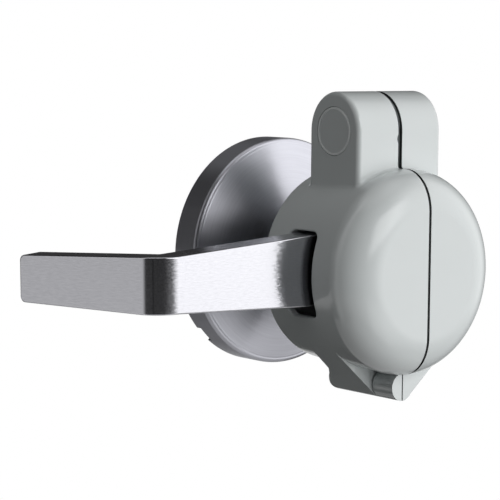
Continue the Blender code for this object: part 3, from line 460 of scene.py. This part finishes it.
def makeLever():
    root, bend, tip = lever["heights"]
    middle = lever["front"] - lever["thick"] / 2
    corner = Vector((-lever["reach"], -middle, 0))
    end = Vector((-lever["tip"][0], -lever["tip"][1], 0))
    back = (end - corner).normalized()
    turn = acos(max(-1, min(1, -back.x)))
    tangent = lever["bend"] * sin(turn / 2) / cos(turn / 2)
    start = corner + Vector((tangent, 0, 0))
    centre = start + Vector((0, lever["bend"], 0))
    half = lever["thick"] / 2
    # section at the hub, extruded along the bar
    piece = slab("lever_bar", rectangle(middle - half, -root / 2, middle + half, root / 2), "X", 0, start.x)
    editMode(piece)
    pick(piece, "faces", lambda face: face.normal.x < -0.9)
    bpy.ops.transform.resize(value=(1, 1, bend / root))
    # the bend, a short extrusion and a small turn at a time
    for i in range(lever["bendSteps"]):
        bpy.ops.mesh.extrude_region_move()
        bpy.ops.transform.rotate(value=turn / lever["bendSteps"], orient_axis="Z", orient_type="GLOBAL",
                                 center_override=centre)
    bpy.ops.mesh.extrude_region_move(TRANSFORM_OT_translate={"value": end - (corner + back * tangent)})
    bpy.ops.transform.resize(value=(1, 1, tip / bend))

    def acrossTip(edge):
        return all(v.select for v in edge.verts) and abs(edge.verts[0].co.z - edge.verts[1].co.z) < gap

    # round the two corners of the tip as they show in the lever's face
    pick(piece, "edges", acrossTip)
    bpy.ops.mesh.bevel(offset=lever["tipRound"], segments=6, profile=0.5, affect="EDGES")
    cleanMesh()
    objectMode()
    roundEdges(piece, lever["edge"], segments=4)
    piece.data.transform(Matrix.Rotation(-radians(lever["droop"]), 4, "Y"))
    # hub, shank and the flatted tail that the cam sits on
    hubRadius = root / 2
    hubBack = lever["front"] - lever["thick"] + lever["edge"]
    hub = [(0, lever["camFront"]), (lever["shank"], lever["camFront"]), (lever["shank"], lever["shoulder"]),
           (lever["neck"], lever["shoulder"]), (lever["neck"], hubBack), (hubRadius, hubBack)]
    hub += arc((hubRadius - lever["edge"], lever["front"] - lever["edge"]), lever["edge"], 0, pi / 2, steps=6)
    join(piece, lathe("hub", hub + [(0, lever["front"])], steps=128))
    tailRadius = lever["shank"] - gap
    flat = asin((lever["shank"] - lever["flats"]) / tailRadius)
    tail = arc((0, 0), tailRadius, -flat, flat, steps=24) + arc((0, 0), tailRadius, pi - flat, pi + flat, steps=24)
    join(piece, slab("tail", tail, "Y", lever["tail"], lever["camFront"] + lever["shank"]))
    cut(piece, lathe("groove", rectangle(*lever["groove"]), steps=64, closed=True))
    side, low, high = lever["socket"]
    cut(piece, block("socket", (-side / 2, low, -side / 2), (side / 2, high, side / 2)))
    # brushing attribute: distance along the lever, then height and depth across it
    brushing = piece.data.attributes.new("brushing", "FLOAT_VECTOR", "POINT")
    for i, vertex in enumerate(piece.data.vertices):
        co = vertex.co
        past = (co - corner).dot(back)
        if co.x < start.x and past > 0:
            brushing.data[i].vector = (lever["reach"] + past, co.z, (co - corner).dot(Vector((-back.y, back.x, 0))))
        else:
            brushing.data[i].vector = (-co.x, co.z, co.y + middle)
    layer = piece.data.uv_layers.new(name="lengthwise")
    for loop in piece.data.loops:
        along, high, deep = brushing.data[loop.vertex_index].vector
        layer.uv[loop.index].vector = (along * lever["uvScale"], (high + deep) * lever["uvScale"])
    tree = leverChrome.node_tree
    tangent = addNode(tree, "ShaderNodeTangent", direction_type="UV_MAP", uv_map="lengthwise")
    tree.links.new(tangent.outputs["Tangent"], tree.nodes["Principled BSDF"].inputs["Tangent"])
    finishPiece(piece, "lever", leverChrome, ["lever"], angle=28)


makeLever()
print("lever made")


# clamshell, both halves from one set of sizes; heights count from the lock's own axis
shell = {
    "radius": 35 * mm, "rear": 33.7 * mm, "back": 38.5 * mm, "front": 86 * mm, "nose": (14 * mm, 12 * mm),
    "soft": 2.4 * mm, "wall": 2.5 * mm, "split": 1.1 * mm, "blockSplit": 1.8 * mm,
    "splitEdge": (0.42 * mm, 0.12 * mm), "blockEdge": (0.3 * mm, 0.7 * mm),  # left half, right half
    "lip": (1.5 * mm, 0.9 * mm), "aperture": 15.5 * mm, "steps": 192,
    "rib": (1.4 * mm, 2.5 * mm, 55),  # thickness, height and degrees apart
}
window = {
    "high": 29 * mm, "wide": 14.8 * mm, "centre": 58 * mm, "corner": 2.8 * mm, "span": (-70 * mm, -17.5 * mm),
    "lip": ((0.2 * mm, 0.4 * mm), (0.42 * mm, 0.17 * mm)),  # each step's width and depth
}
latch = {
    "width": 38.4 * mm, "depth": 24.6 * mm, "centre": 58.7 * mm, "foot": 10 * mm, "arch": 47.5 * mm, "crown": 1 * mm,
    "edge": 1.6 * mm, "fillet": 1.4 * mm, "button": 8.2 * mm, "hook": (2.5 * mm, 5.5 * mm), "pin": 1.2 * mm,
    "pivot": (-9.5 * mm, 41 * mm), "boss": 2.4 * mm, "ear": 2 * mm, "earFoot": 20 * mm,
    "keeper": (4 * mm, 6 * mm, 2.5 * mm), "seat": (-4.74 * mm, 2.36 * mm, 35.28 * mm),
    "notch": (45 * mm, 2.4 * mm, 0.5 * mm, 3 * mm),  # height, radius, bite and length
}
hinge = {
    "z": -39.5 * mm, "barrel": 4.8 * mm, "pin": 1.7 * mm, "endWall": 2 * mm, "groove": 0.5 * mm,
    "left": (42 * mm, 63.8 * mm), "right": (64.4 * mm, 74 * mm), "tail": {"left": 7.5 * mm, "right": 0},
    "knee": 0.56, "edge": 0.35 * mm, "rearRound": (2.4 * mm, 20 * mm),  # radius and the cutter's reach
}


def drumProfile(inset, fine):
    back, front = shell["back"] + inset, shell["front"] - inset
    rear, side = shell["rear"] - inset, shell["radius"] - inset
    soft = max(shell["soft"] - inset, gap)
    nose = (shell["nose"][0] - inset, shell["nose"][1] - inset)
    points = arc((rear - soft, back + soft), soft, -pi / 2, 0, steps=6)
    low, high = back + soft, front - nose[1]
    points += list(zip(spread(rear, side, fine), spread(low, high, fine)))[1:-1]
    points += arc((side - nose[0], front - nose[1]), nose, 0, pi / 2, steps=24)
    return points


def drumRadius(depth):
    low, high = shell["back"] + shell["soft"], shell["front"] - shell["nose"][1]
    return shell["rear"] + (shell["radius"] - shell["rear"]) * (depth - low) / (high - low)


def drum(name, inset):
    return lathe(name, drumProfile(inset, fine=16), shell["steps"])


def sectionOutline(inset):
    half = drumProfile(inset, fine=2)
    return [(depth, radius) for radius, depth in half] + [(depth, -radius) for radius, depth in reversed(half)]


def archOutline(inset):
    half = latch["depth"] / 2 - inset
    points = [(latch["centre"] + half, latch["foot"])]
    points += arc((latch["centre"], latch["arch"]), (half, half + latch["crown"]), 0, pi, steps=48)
    return points + [(latch["centre"] - half, latch["foot"])]


def latchBlock():
    half = latch["width"] / 2
    piece = slab("latch_block", archOutline(0), "X", -half, half)

    def onAnEnd(edge):
        a, b = edge.verts
        return abs(abs(a.co.x) - half) < gap / 10 and abs(a.co.x - b.co.x) < gap / 10

    editMode(piece)
    pick(piece, "edges", onAnEnd)
    bpy.ops.mesh.bevel(offset=latch["edge"], segments=7, profile=0.5, affect="EDGES")
    cleanMesh()
    objectMode()
    return piece


def baseFillet():
    # soft inside corner where the latch block stands on the drum, lofted round the block's foot
    wide, deep, r, f = latch["width"] / 2, latch["depth"] / 2, latch["edge"], latch["fillet"]
    cornerSteps, sideSteps, curveSteps = 8, 24, 8
    # points round the foot, each with the way out from the block
    foot = []
    for quarter, (a, b) in enumerate(corners):
        start, turn = quarter * pi / 2, (quarter + 1) * pi / 2
        corner = arc((a * (wide - r), b * (deep - r)), r, start, turn, cornerSteps)
        foot += zip(corner, arc((0, 0), 1, start, turn, cornerSteps))
        nextA, nextB = corners[(quarter + 1) % 4]
        out = (cos(turn), sin(turn))
        ahead = (nextA * (wide - r) + r * out[0], nextB * (deep - r) + r * out[1])
        side = zip(spread(corner[-1][0], ahead[0], sideSteps), spread(corner[-1][1], ahead[1], sideSteps))
        foot += [(spot, out) for spot in list(side)[1:-1]]

    def roof(x, y):
        return sqrt(drumRadius(latch["centre"] + y) ** 2 - x * x)

    points = []
    for (x, y), (nx, ny) in foot:
        near, far = roof(x, y), roof(x + nx * f, y + ny * f)
        section = []
        for t in spread(0, 1, curveSteps):
            out = f * t * t - gap / 10 * (1 - t)
            up = (1 - t) ** 2 * (near + f) + 2 * t * (1 - t) * near + t * t * (far - gap / 20)
            section.append((out, up))
        section += [(f, far - 2 * gap), (-2 * gap, near - 2 * gap), (-2 * gap, near + f)]
        points.append([(x + nx * out, -(latch["centre"] + y + ny * out), up) for out, up in section])
    count, across = len(points), len(points[0])
    faces = [(i * across + j, i * across + (j + 1) % across, (i + 1) % count * across + (j + 1) % across,
              (i + 1) % count * across + j) for i in range(count) for j in range(across)]
    mesh = bpy.data.meshes.new("fillet")
    mesh.from_pydata([point for section in points for point in section], [], faces)
    piece = addObject("fillet", mesh)
    editMode(piece)
    cleanMesh()
    objectMode()
    return piece


def keelOutline(side, depth):
    # a flank that runs off the drum and on to the hinge barrel as a tangent of both
    wide = drumRadius(depth) - gap / 10
    angle = acos((wide - hinge["barrel"]) / -hinge["z"])
    away = Vector((sin(angle), -cos(angle)))
    axle = Vector((0, hinge["z"]))
    top = Vector((0, shell["wall"] - shell["radius"]))
    return [(side * x, z) for x, z in (axle, axle + hinge["barrel"] * away, wide * away, top)]


def keel(word, side):
    back, front = hinge[word]
    near, far = keelOutline(side, back), keelOutline(side, front)
    piece = slab("keel", near, "Y", back, front)
    for vertex in piece.data.vertices:
        if -vertex.co.y > (back + front) / 2:  # the drum widens towards the front, and the flank with it
            spot = min(range(4), key=lambda i: (Vector(near[i]) - vertex.co.xz).length)
            vertex.co.x, vertex.co.z = far[spot]
    if hinge["tail"][word]:
        # the web slopes back along the barrel's tail
        start = back + hinge["tail"][word]
        foot, hip = near[1][1], near[2][1]
        knee = hip + (foot - hip) * hinge["knee"]
        heel = [(back - gap, foot), (start, knee), (start, 0), (back - gap, 0)]
        cut(piece, slab("heel", heel, "X", -2 * shell["radius"], 2 * shell["radius"]))
    roundEdges(piece, hinge["edge"], angle=30)
    return piece


def halfSpace(side, split, low, high):
    near, far = sorted((side * split / 2, side * wellPast))
    return block("half", (near, 0, low), (far, wellPast, high))


def latchTurn(side):
    # latch pieces are drawn for the left half about the block's middle, and turned round for the right
    return Matrix.Translation((0, -latch["centre"], 0)) @ Matrix.Rotation(0 if side < 0 else pi, 4, "Z")


def turned(piece, side):
    piece.data.transform(latchTurn(side))
    return piece


def earSpans():
    # where the two ears stand, before and behind the hook
    near, far = latch["hook"]
    return [(near - gap - latch["ear"], near - gap), (far + gap, far + gap + latch["ear"])]


def lipRing(outer, inner, low, high, start):
    # the rim on the left half that the right half closes over
    piece = slab("lip", sectionOutline(outer), "X", low, high)
    cut(piece, slab("inside", sectionOutline(inner), "X", low - gap, high + gap))
    cut(piece, block("behind", (low - gap, 0, -wellPast / 4), (high + gap, start, wellPast / 4)))
    return piece


def softenSplit(piece, plane, width):
    # the moulded edges along the split are slightly round
    def alongSplit(edge):
        if len(edge.link_faces) != 2 or edge.calc_face_angle() <= radians(30):
            return False
        return all(abs(abs(v.co.x) - plane) < gap / 30 for v in edge.verts)

    editMode(piece)
    pick(piece, "edges", alongSplit)
    bpy.ops.mesh.bevel(offset=width, segments=3, profile=0.5, affect="EDGES", clamp_overlap=True)
    objectMode()


def makeHalf(word, side):
    piece = drum(word + "_half", 0)
    join(piece, latchBlock())
    join(piece, baseFillet())
    back, front = hinge[word]
    join(piece, keel(word, side))
    combine(piece, halfSpace(side, shell["split"], -wellPast / 2, wellPast / 2), "INTERSECT")
    cut(piece, halfSpace(-side, -shell["blockSplit"], shell["radius"], wellPast / 2))
    softenSplit(piece, shell["split"] / 2, shell["splitEdge"][side > 0])
    softenSplit(piece, shell["blockSplit"] / 2, shell["blockEdge"][side > 0])
    join(piece, slab("barrel", ring((0, hinge["z"]), hinge["barrel"], steps=64), "Y", back, front))
    # rooms inside
    inner = latch["width"] / 2 - shell["wall"]
    room = slab("room", archOutline(shell["wall"]), "X", -inner, inner)
    cut(room, drum("roof", 0))
    cut(piece, room)
    # keeper, ears and spring seat
    reach = latch["depth"] / 2 - shell["wall"] / 2
    near, far, lift = latch["keeper"]
    radii = (reach, reach + latch["crown"])
    rise = asin(lift / radii[1])
    keeper = arc((0, latch["arch"]), radii, rise, pi - rise, steps=32)
    join(piece, turned(slab("keeper", keeper, "X", -far, -near), side))
    px, pz = latch["pivot"]
    ear = arc((px, pz), latch["boss"], 0, pi, steps=24)
    ear = [(px + latch["boss"], latch["earFoot"])] + ear + [(px - latch["boss"], latch["earFoot"])]
    for low, high in earSpans():
        join(piece, turned(slab("ear", ear, "Y", low, high), side))
    seatX, seatRadius, seatTop = latch["seat"]
    seat = ring((seatX, sum(latch["hook"]) / 2), seatRadius, steps=40)
    join(piece, turned(slab("seat", seat, "Z", latch["earFoot"], seatTop), side))
    cut(piece, drum("cavity", shell["wall"]))
    # stiffening ribs, none where the window is
    thick, tall, angle = shell["rib"]
    inside = shell["rear"] - shell["wall"] - tall
    for turn in ([pi - radians(angle), pi + radians(angle)] if side < 0 else [-radians(angle), 0, radians(angle)]):
        rib = block("rib", (inside, shell["back"] + shell["wall"] - gap, -thick / 2),
                    (shell["rear"] - gap, shell["front"] - shell["nose"][1], thick / 2))
        rib.data.transform(Matrix.Rotation(turn, 4, "Y"))
        join(piece, rib)
    hole = ring((0, latch["arch"]), latch["button"] + gap / 2, steps=128)
    cut(piece, turned(slab("button_hole", hole, "X", -latch["width"], -(inner - gap)), side))
    pin = ring((px, pz), latch["pin"] + gap, steps=32)
    cut(piece, turned(slab("pin_hole", pin, "Y", earSpans()[0][0] - gap, earSpans()[1][1] + gap), side))
    # hinge bore, the other half's swing and the collar's opening
    otherBack, otherFront = hinge["right" if side < 0 else "left"]
    swing = ring((0, hinge["z"]), hinge["barrel"] + gap, steps=64)
    cut(piece, slab("swing", swing, "Y", otherBack - gap, otherFront + gap))
    bore = ring((0, hinge["z"]), hinge["pin"] + gap, steps=32)
    cut(piece, slab("bore", bore, "Y", hinge["left"][0] - gap, hinge["right"][1] - hinge["endWall"]))
    opening = ring((0, -lockDrop), shell["aperture"], steps=128)
    cut(piece, slab("opening", opening, "Y", shell["back"] - gap, shell["back"] + shell["wall"] + gap))
    return piece


def windowCutter(grow=0):
    # the lever's way out, with round corners
    wide, high, r = window["wide"] / 2 + grow, window["high"] / 2 + grow, window["corner"] + grow
    points = []
    for quarter, (a, b) in enumerate(corners):
        middle = (window["centre"] + a * (wide - r), b * (high - r))
        points += arc(middle, r, quarter * pi / 2, (quarter + 1) * pi / 2, steps=8)
    return slab("window", points, "X", *window["span"])


def makeShells():
    inset, lip = shell["lip"]
    start = shell["back"] + 2 * shell["wall"]
    left = makeHalf("left", -1)
    join(left, lipRing(inset, shell["wall"] - gap, -shell["wall"], lip, start))
    cut(left, windowCutter())
    for grow, deep in window["lip"]:
        flare = windowCutter(grow)
        cut(flare, drum("kept", deep))
        cut(left, flare)
    # round rear corner of the keel, and a thumbnail notch in the block's edge
    r, reach = hinge["rearRound"]
    low, back = hinge["z"] - hinge["barrel"], hinge["left"][0]
    corner = [(back - gap, low - gap), (back + r, low - gap)] + arc((back + r, low + r), r, -pi / 2, -pi, steps=10)
    cut(left, slab("corner", corner + [(back - gap, low + r)], "X", -reach, reach))
    high, r, bite, long = latch["notch"]
    edge = latch["centre"] + latch["depth"] / 2
    notch = ring((r - shell["blockSplit"] / 2 - bite, high), r, steps=48)
    cut(left, slab("notch", notch, "Y", edge - long, edge + gap))
    left.data.transform(Matrix.Translation((0, 0, lockDrop)))
    finishPiece(left, "base", greyAbs, ["left_shell"])
    right = makeHalf("right", 1)
    cut(right, lipRing(inset - gap, 2 * shell["wall"], 0, lip + gap, start - gap))
    # fine groove across the end of the front knuckle
    half = hinge["groove"] / 2
    cut(right, block("groove", (-half, hinge["right"][1] - hinge["groove"], hinge["z"] - hinge["barrel"] - gap),
                     (half, hinge["right"][1] + gap, hinge["z"] + hinge["barrel"])))
    right.data.transform(Matrix.Translation((0, 0, lockDrop)))
    finishPiece(right, "right_half", greyAbs, ["right_shell"])


makeShells()
print("shells made")


# buttons, drawn for the left and turned round for the right
button = {
    "radius": 8.2 * mm, "edge": 0.15 * mm, "ring": (7.3 * mm, 8.05 * mm, 0.16 * mm), "flange": 9.4 * mm,
    "wall": 2.8 * mm, "depth": 5.5 * mm, "pusher": (2 * mm, 2.65 * mm),
    "rubbed": {"colour": "f2f5f5", "share": 0.8, "fade": (0.2 * mm, 0.5 * mm)},
}


def paintRingHighlight(material):
    # painted highlight: the raised ring is painted paler than the face round it, standing in for the light it catches
    rubbed = button["rubbed"]
    inner, outer = button["ring"][:2]
    tree = material.node_tree
    shader = tree.nodes["Principled BSDF"]
    face = shader.inputs["Base Color"].links[0].from_socket
    coords = addNode(tree, "ShaderNodeTexCoord")
    middle = addNode(tree, "ShaderNodeMapping", {"Location": (0, latch["centre"], -(latch["arch"] + lockDrop))},
                     {"Vector": coords.outputs["Object"]})
    flat = addNode(tree, "ShaderNodeVectorMath", {1: (0, 1, 1)}, {0: middle.outputs["Vector"]}, operation="MULTIPLY")
    radius = addNode(tree, "ShaderNodeVectorMath", links={0: flat.outputs["Vector"]}, operation="LENGTH")
    away = addNode(tree, "ShaderNodeMath", {1: (inner + outer) / 2}, {0: radius.outputs["Value"]}, operation="SUBTRACT")
    away = addNode(tree, "ShaderNodeMath", links={0: away.outputs[0]}, operation="ABSOLUTE")
    share = addNode(tree, "ShaderNodeMapRange", {"From Min": rubbed["fade"][0], "From Max": rubbed["fade"][1],
                                                 "To Min": rubbed["share"], "To Max": 0}, {"Value": away.outputs[0]})
    blend = addNode(tree, "ShaderNodeMix", {"B": hexColour(rubbed["colour"])},
                    {"Factor": share.outputs["Result"], "A": face}, data_type="RGBA")
    tree.links.new(blend.outputs[2], shader.inputs["Base Color"])
    return material


# plastic for the buttons, with a painted highlight on the raised ring
ringHighlightAbs = paintRingHighlight(mouldedPlastic("grey moulded ABS, rubbed ring", absGrey, absGloss))


def makeButtons():
    inner, outer, rise = button["ring"]
    r, edge = button["radius"], button["edge"]
    high, long = button["pusher"]
    near, far = latch["hook"]
    bead = arc(((inner + outer) / 2, 0), ((outer - inner) / 2, rise), pi, 2 * pi, steps=8)
    profile = [(0, 0), (inner, 0)] + bead + arc((r - edge, edge), edge, -pi / 2, 0, steps=4)
    profile += [(r, button["wall"]), (button["flange"], button["wall"]), (button["flange"], button["depth"]),
                (0, button["depth"])]
    for word, side in (("left", -1), ("right", 1)):
        piece = lathe(word + "_push_button", profile, steps=128)
        piece.data.transform(Matrix.Rotation(pi / 2, 4, "Z"))
        join(piece, slab("pusher", rectangle(near, -high / 2, far, high / 2), "X",
                         button["depth"] - gap, button["depth"] + long))
        piece.data.transform(Matrix.Translation((0, 0, lockDrop)) @ latchTurn(side)
                             @ Matrix.Translation((-latch["width"] / 2, 0, latch["arch"])))
        finishPiece(piece, word + "_button", ringHighlightAbs, [word + "_button"], angle=24)


makeButtons()
print("buttons made")


# pieces whose CAD shape is right: copied, merged and given soft edges
def softCopy(node, body, material, width):
    piece = addObject(node + "_dressed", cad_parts[node].data.copy())
    editMode(piece)
    cleanMesh()
    bpy.ops.mesh.dissolve_limited(angle_limit=radians(1))
    objectMode()
    if width:
        roundEdges(piece, width, segments=2)
    finishPiece(piece, body, material, [node], angle=35)
    return piece


dressed = {}
for node, body, slot, material, width in (
    ("mount_plate", "base", "steel", platedSteel, 0.2 * mm),
    ("bearing_collar", "base", "satin_chrome", platedSteel, 0.2 * mm),
    *[(f"collar_screw_{i}", "base", "steel", platedSteel, 0.12 * mm) for i in (1, 2, 3)],
    ("hinge_pin", "base", "steel", platedSteel, 0.2 * mm),
    ("left_hook_pin", "base", "steel", platedSteel, 0.15 * mm),
    ("right_hook_pin", "right_half", "steel", platedSteel, 0.15 * mm),
    ("return_cam", "lever", "steel", platedSteel, 0.2 * mm),
    ("retaining_ring", "lever", "spring_steel", springWire, 0.1 * mm),
    ("left_grip", "base", "rubber", blackRubber, 0.2 * mm),
    ("right_grip", "right_half", "rubber", blackRubber, 0.2 * mm),
    ("left_hook", "left_hook", "latch_plastic", latchAcetal, 0.2 * mm),
    ("right_hook", "right_hook", "latch_plastic", latchAcetal, 0.2 * mm),
    ("return_spring", None, "spring_steel", springWire, 0),
    ("left_spring", "base", "spring_steel", springWire, 0),
    ("right_spring", "right_half", "spring_steel", springWire, 0),
):
    dressed[node] = softCopy(node, body, material, width)

# the latch springs, which shorten under their hooks, get meshes of their own, and the return spring, whose left leg
# goes with the cam, has its placing baked into its mesh
for word in ("left", "right"):
    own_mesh(dressed[word + "_spring"])
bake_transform(dressed["return_spring"])
print("inner pieces dressed")


# stage, light and camera
studio = {
    "floor": {"height": -0.7, "size": 1.3, "colour": "9c9c9c", "roughness": 0.8,
              "white": 0.9, "mirrored": 0.35, "strength": 1.09},
    "aim": (0, -0.05, 0),
    "lamps": (
        {"name": "key", "place": (0.6, -1.42, 0.1), "size": (1.7, 2.3), "power": 26},
        {"name": "fill", "place": (-1.05, -0.4, 0.95), "size": (1.0, 1.0), "power": 3.6},
        {"name": "back", "place": (0.45, 1.3, 0.35), "size": (0.8, 1.0), "power": 10},
    ),
    "ambient": 0.35, "mirror": 1.66,  # the panels' strength as soft light and in reflections
    # what stands round the set; each panel is its walls times its heights, and the panels add up
    # walls: degrees from straight in front towards the right, and brightness
    # heights: sine of the angle above the horizon, and brightness
    "panels": (
        # large softbox on the right, in a dark room
        {"walls": ((-180, 0.02), (-84, 0.015), (6, 0.015), (13, 0.08), (20, 0.38), (28, 0.75), (36, 1), (80, 1),
                   (100, 0.2), (120, 0.03), (180, 0.02)),
         "heights": ((-1, 0.1), (-0.55, 0.15), (-0.35, 0.4), (-0.2, 1), (0.6, 1), (0.85, 0.2), (1, 0.1))},
        # pale wall on the left, lighter towards floor and ceiling
        {"walls": ((-180, 0), (-116, 0), (-107, 0.35), (-95, 0.35), (-84, 0), (180, 0)),
         "heights": ((-1, 1.5), (-0.45, 1.5), (-0.2, 1), (0.2, 1), (0.45, 1.5), (1, 1.5))},
        # cards in front, above and below the lever's own reflection
        {"walls": ((-180, 0), (-12, 0), (3, 1), (24, 1), (38, 0), (180, 0)),
         "heights": ((-1, 0), (-0.75, 0), (-0.62, 0.7), (-0.35, 0.7), (-0.24, 0), (0.06, 0), (0.18, 1.7), (0.5, 1.7),
                     (0.62, 0), (1, 0))},
        # dim card low on the left
        {"walls": ((-180, 0), (-92, 0), (-80, 0.2), (-14, 0.2), (2, 0), (180, 0)),
         "heights": ((-1, 0), (-0.7, 0), (-0.6, 1), (-0.36, 1), (-0.26, 0), (1, 0))},
        # low card behind
        {"walls": ((-180, 0.5), (-130, 0.5), (-115, 0), (115, 0), (130, 0.5), (180, 0.5)),
         "heights": ((-1, 0), (-0.5, 0), (-0.42, 1), (-0.2, 1), (-0.12, 0), (1, 0))},
        # pale ceiling
        {"walls": ((-180, 0.5), (180, 0.5)), "heights": ((-1, 0), (0.87, 0), (0.94, 1), (1, 1))},
    ),
}


def makeStage():
    sweep = studio["floor"]
    bpy.ops.object.select_all(action="DESELECT")
    bpy.ops.mesh.primitive_plane_add(size=sweep["size"], location=(0, 0, sweep["height"]))
    floor = bpy.context.object
    floor.name = "floor"
    # matt paper sweep: white to the camera with a share left for the shadow, and paler in reflections too
    material, tree, shader = newMaterial("matt paper sweep")
    shader.inputs["Base Color"].default_value = hexColour(sweep["colour"])
    shader.inputs["Roughness"].default_value = sweep["roughness"]
    path = addNode(tree, "ShaderNodeLightPath")
    seen = addNode(tree, "ShaderNodeMath", operation="MAXIMUM",
                   links={0: path.outputs["Is Camera Ray"], 1: path.outputs["Is Transmission Ray"]})
    share = addNode(tree, "ShaderNodeMath", {1: sweep["white"]}, {0: seen.outputs[0]}, operation="MULTIPLY")
    share = addNode(tree, "ShaderNodeMath", {1: sweep["mirrored"]},
                    {0: path.outputs["Is Glossy Ray"], 2: share.outputs[0]}, operation="MULTIPLY_ADD")
    glow = addNode(tree, "ShaderNodeEmission", {"Color": (1, 1, 1, 1), "Strength": sweep["strength"]})
    blend = addNode(tree, "ShaderNodeMixShader", links={0: share.outputs[0], 1: shader.outputs[0], 2: glow.outputs[0]})
    tree.links.new(blend.outputs[0], tree.nodes["Material Output"].inputs["Surface"])
    floor.data.materials.append(material)


def makeWorld():
    # white to the camera; reflections and soft light come from the panels
    world = bpy.data.worlds.new("studio")
    bpy.context.scene.world = world
    world.use_nodes = True
    tree = world.node_tree
    tree.nodes.clear()
    path = addNode(tree, "ShaderNodeLightPath")
    coords = addNode(tree, "ShaderNodeTexCoord")
    sides = addNode(tree, "ShaderNodeSeparateXYZ", links={0: coords.outputs["Generated"]})
    front = addNode(tree, "ShaderNodeMath", {1: -1}, {0: sides.outputs["Y"]}, operation="MULTIPLY")
    angle = addNode(tree, "ShaderNodeMath", links={0: sides.outputs["X"], 1: front.outputs[0]}, operation="ARCTAN2")
    degrees = addNode(tree, "ShaderNodeMath", {1: 180 / pi}, {0: angle.outputs[0]}, operation="MULTIPLY")
    room = None
    for panel in studio["panels"]:
        greys = []
        for socket, low, high, stops in ((degrees.outputs[0], -180, 180, panel["walls"]),
                                         (sides.outputs["Z"], -1, 1, panel["heights"])):
            span = addNode(tree, "ShaderNodeMapRange", {"From Min": low, "From Max": high}, {"Value": socket})
            ramp = addNode(tree, "ShaderNodeValToRGB", links={"Fac": span.outputs["Result"]})
            elements = ramp.color_ramp.elements
            elements.remove(elements[1])
            for i, (at, grey) in enumerate(stops):
                position = (at - low) / (high - low)
                element = elements.new(position) if i else elements[0]
                element.position = position
                element.color = (grey, grey, grey, 1)
            greys.append(ramp.outputs["Color"])
        patch = addNode(tree, "ShaderNodeVectorMath", links={0: greys[0], 1: greys[1]}, operation="MULTIPLY")
        if room:
            patch = addNode(tree, "ShaderNodeVectorMath", links={0: room.outputs["Vector"], 1: patch.outputs["Vector"]},
                            operation="ADD")
        room = patch
    soft = addNode(tree, "ShaderNodeBackground", {"Strength": studio["ambient"]}, {"Color": room.outputs["Vector"]})
    mirror = addNode(tree, "ShaderNodeBackground", {"Strength": studio["mirror"]}, {"Color": room.outputs["Vector"]})
    plain = addNode(tree, "ShaderNodeBackground", {"Color": (1, 1, 1, 1), "Strength": 1})
    shown = addNode(tree, "ShaderNodeMath", operation="MAXIMUM",
                    links={0: path.outputs["Is Camera Ray"], 1: path.outputs["Is Transmission Ray"]})
    lit = addNode(tree, "ShaderNodeMixShader",
                  links={0: path.outputs["Is Glossy Ray"], 1: soft.outputs[0], 2: mirror.outputs[0]})
    final = addNode(tree, "ShaderNodeMixShader", links={0: shown.outputs[0], 1: lit.outputs[0], 2: plain.outputs[0]})
    out = addNode(tree, "ShaderNodeOutputWorld")
    tree.links.new(final.outputs[0], out.inputs["Surface"])


def addLamp(name, place, size, power):
    bpy.ops.object.light_add(type="AREA", location=place)
    lamp = bpy.context.object
    lamp.name = name
    lamp.data.shape = "RECTANGLE"
    lamp.data.size, lamp.data.size_y = size
    lamp.data.energy = power
    lamp.rotation_mode = "QUATERNION"
    lamp.rotation_quaternion = (Vector(studio["aim"]) - Vector(place)).to_track_quat("-Z", "Y")
    lamp.visible_glossy = False  # the panels stand for its reflection


# the photograph's viewpoint; the focal length is in pixels of the image's width
viewpoint = {
    "place": (-0.4580, -0.5416, 0.0720), "aim": (-0.04399, -0.0450, 0.00565), "roll": 0.5,
    "focal": 1937, "image": 500, "sensor": 36, "clip": (0.01, 50),
}


def makeCamera():
    place = Vector(viewpoint["place"])
    ahead = (Vector(viewpoint["aim"]) - place).normalized()
    right = ahead.cross(Vector((0, 0, 1))).normalized()
    up = right.cross(ahead)
    roll = radians(viewpoint["roll"])
    right, up = right * cos(roll) + up * sin(roll), up * cos(roll) - right * sin(roll)
    camera = addObject("camera", bpy.data.cameras.new("camera"))
    camera.data.sensor_width = viewpoint["sensor"]
    camera.data.lens = viewpoint["focal"] / viewpoint["image"] * viewpoint["sensor"]
    turn = Matrix((right, up, -ahead)).transposed().to_4x4()
    camera.matrix_world = Matrix.Translation(place) @ turn
    camera.data.clip_start, camera.data.clip_end = viewpoint["clip"]
    bpy.context.scene.camera = camera


makeStage()
makeWorld()
for lamp in studio["lamps"]:
    addLamp(**lamp)
makeCamera()
bpy.context.scene.view_settings.view_transform = "Standard"
print("stage set")
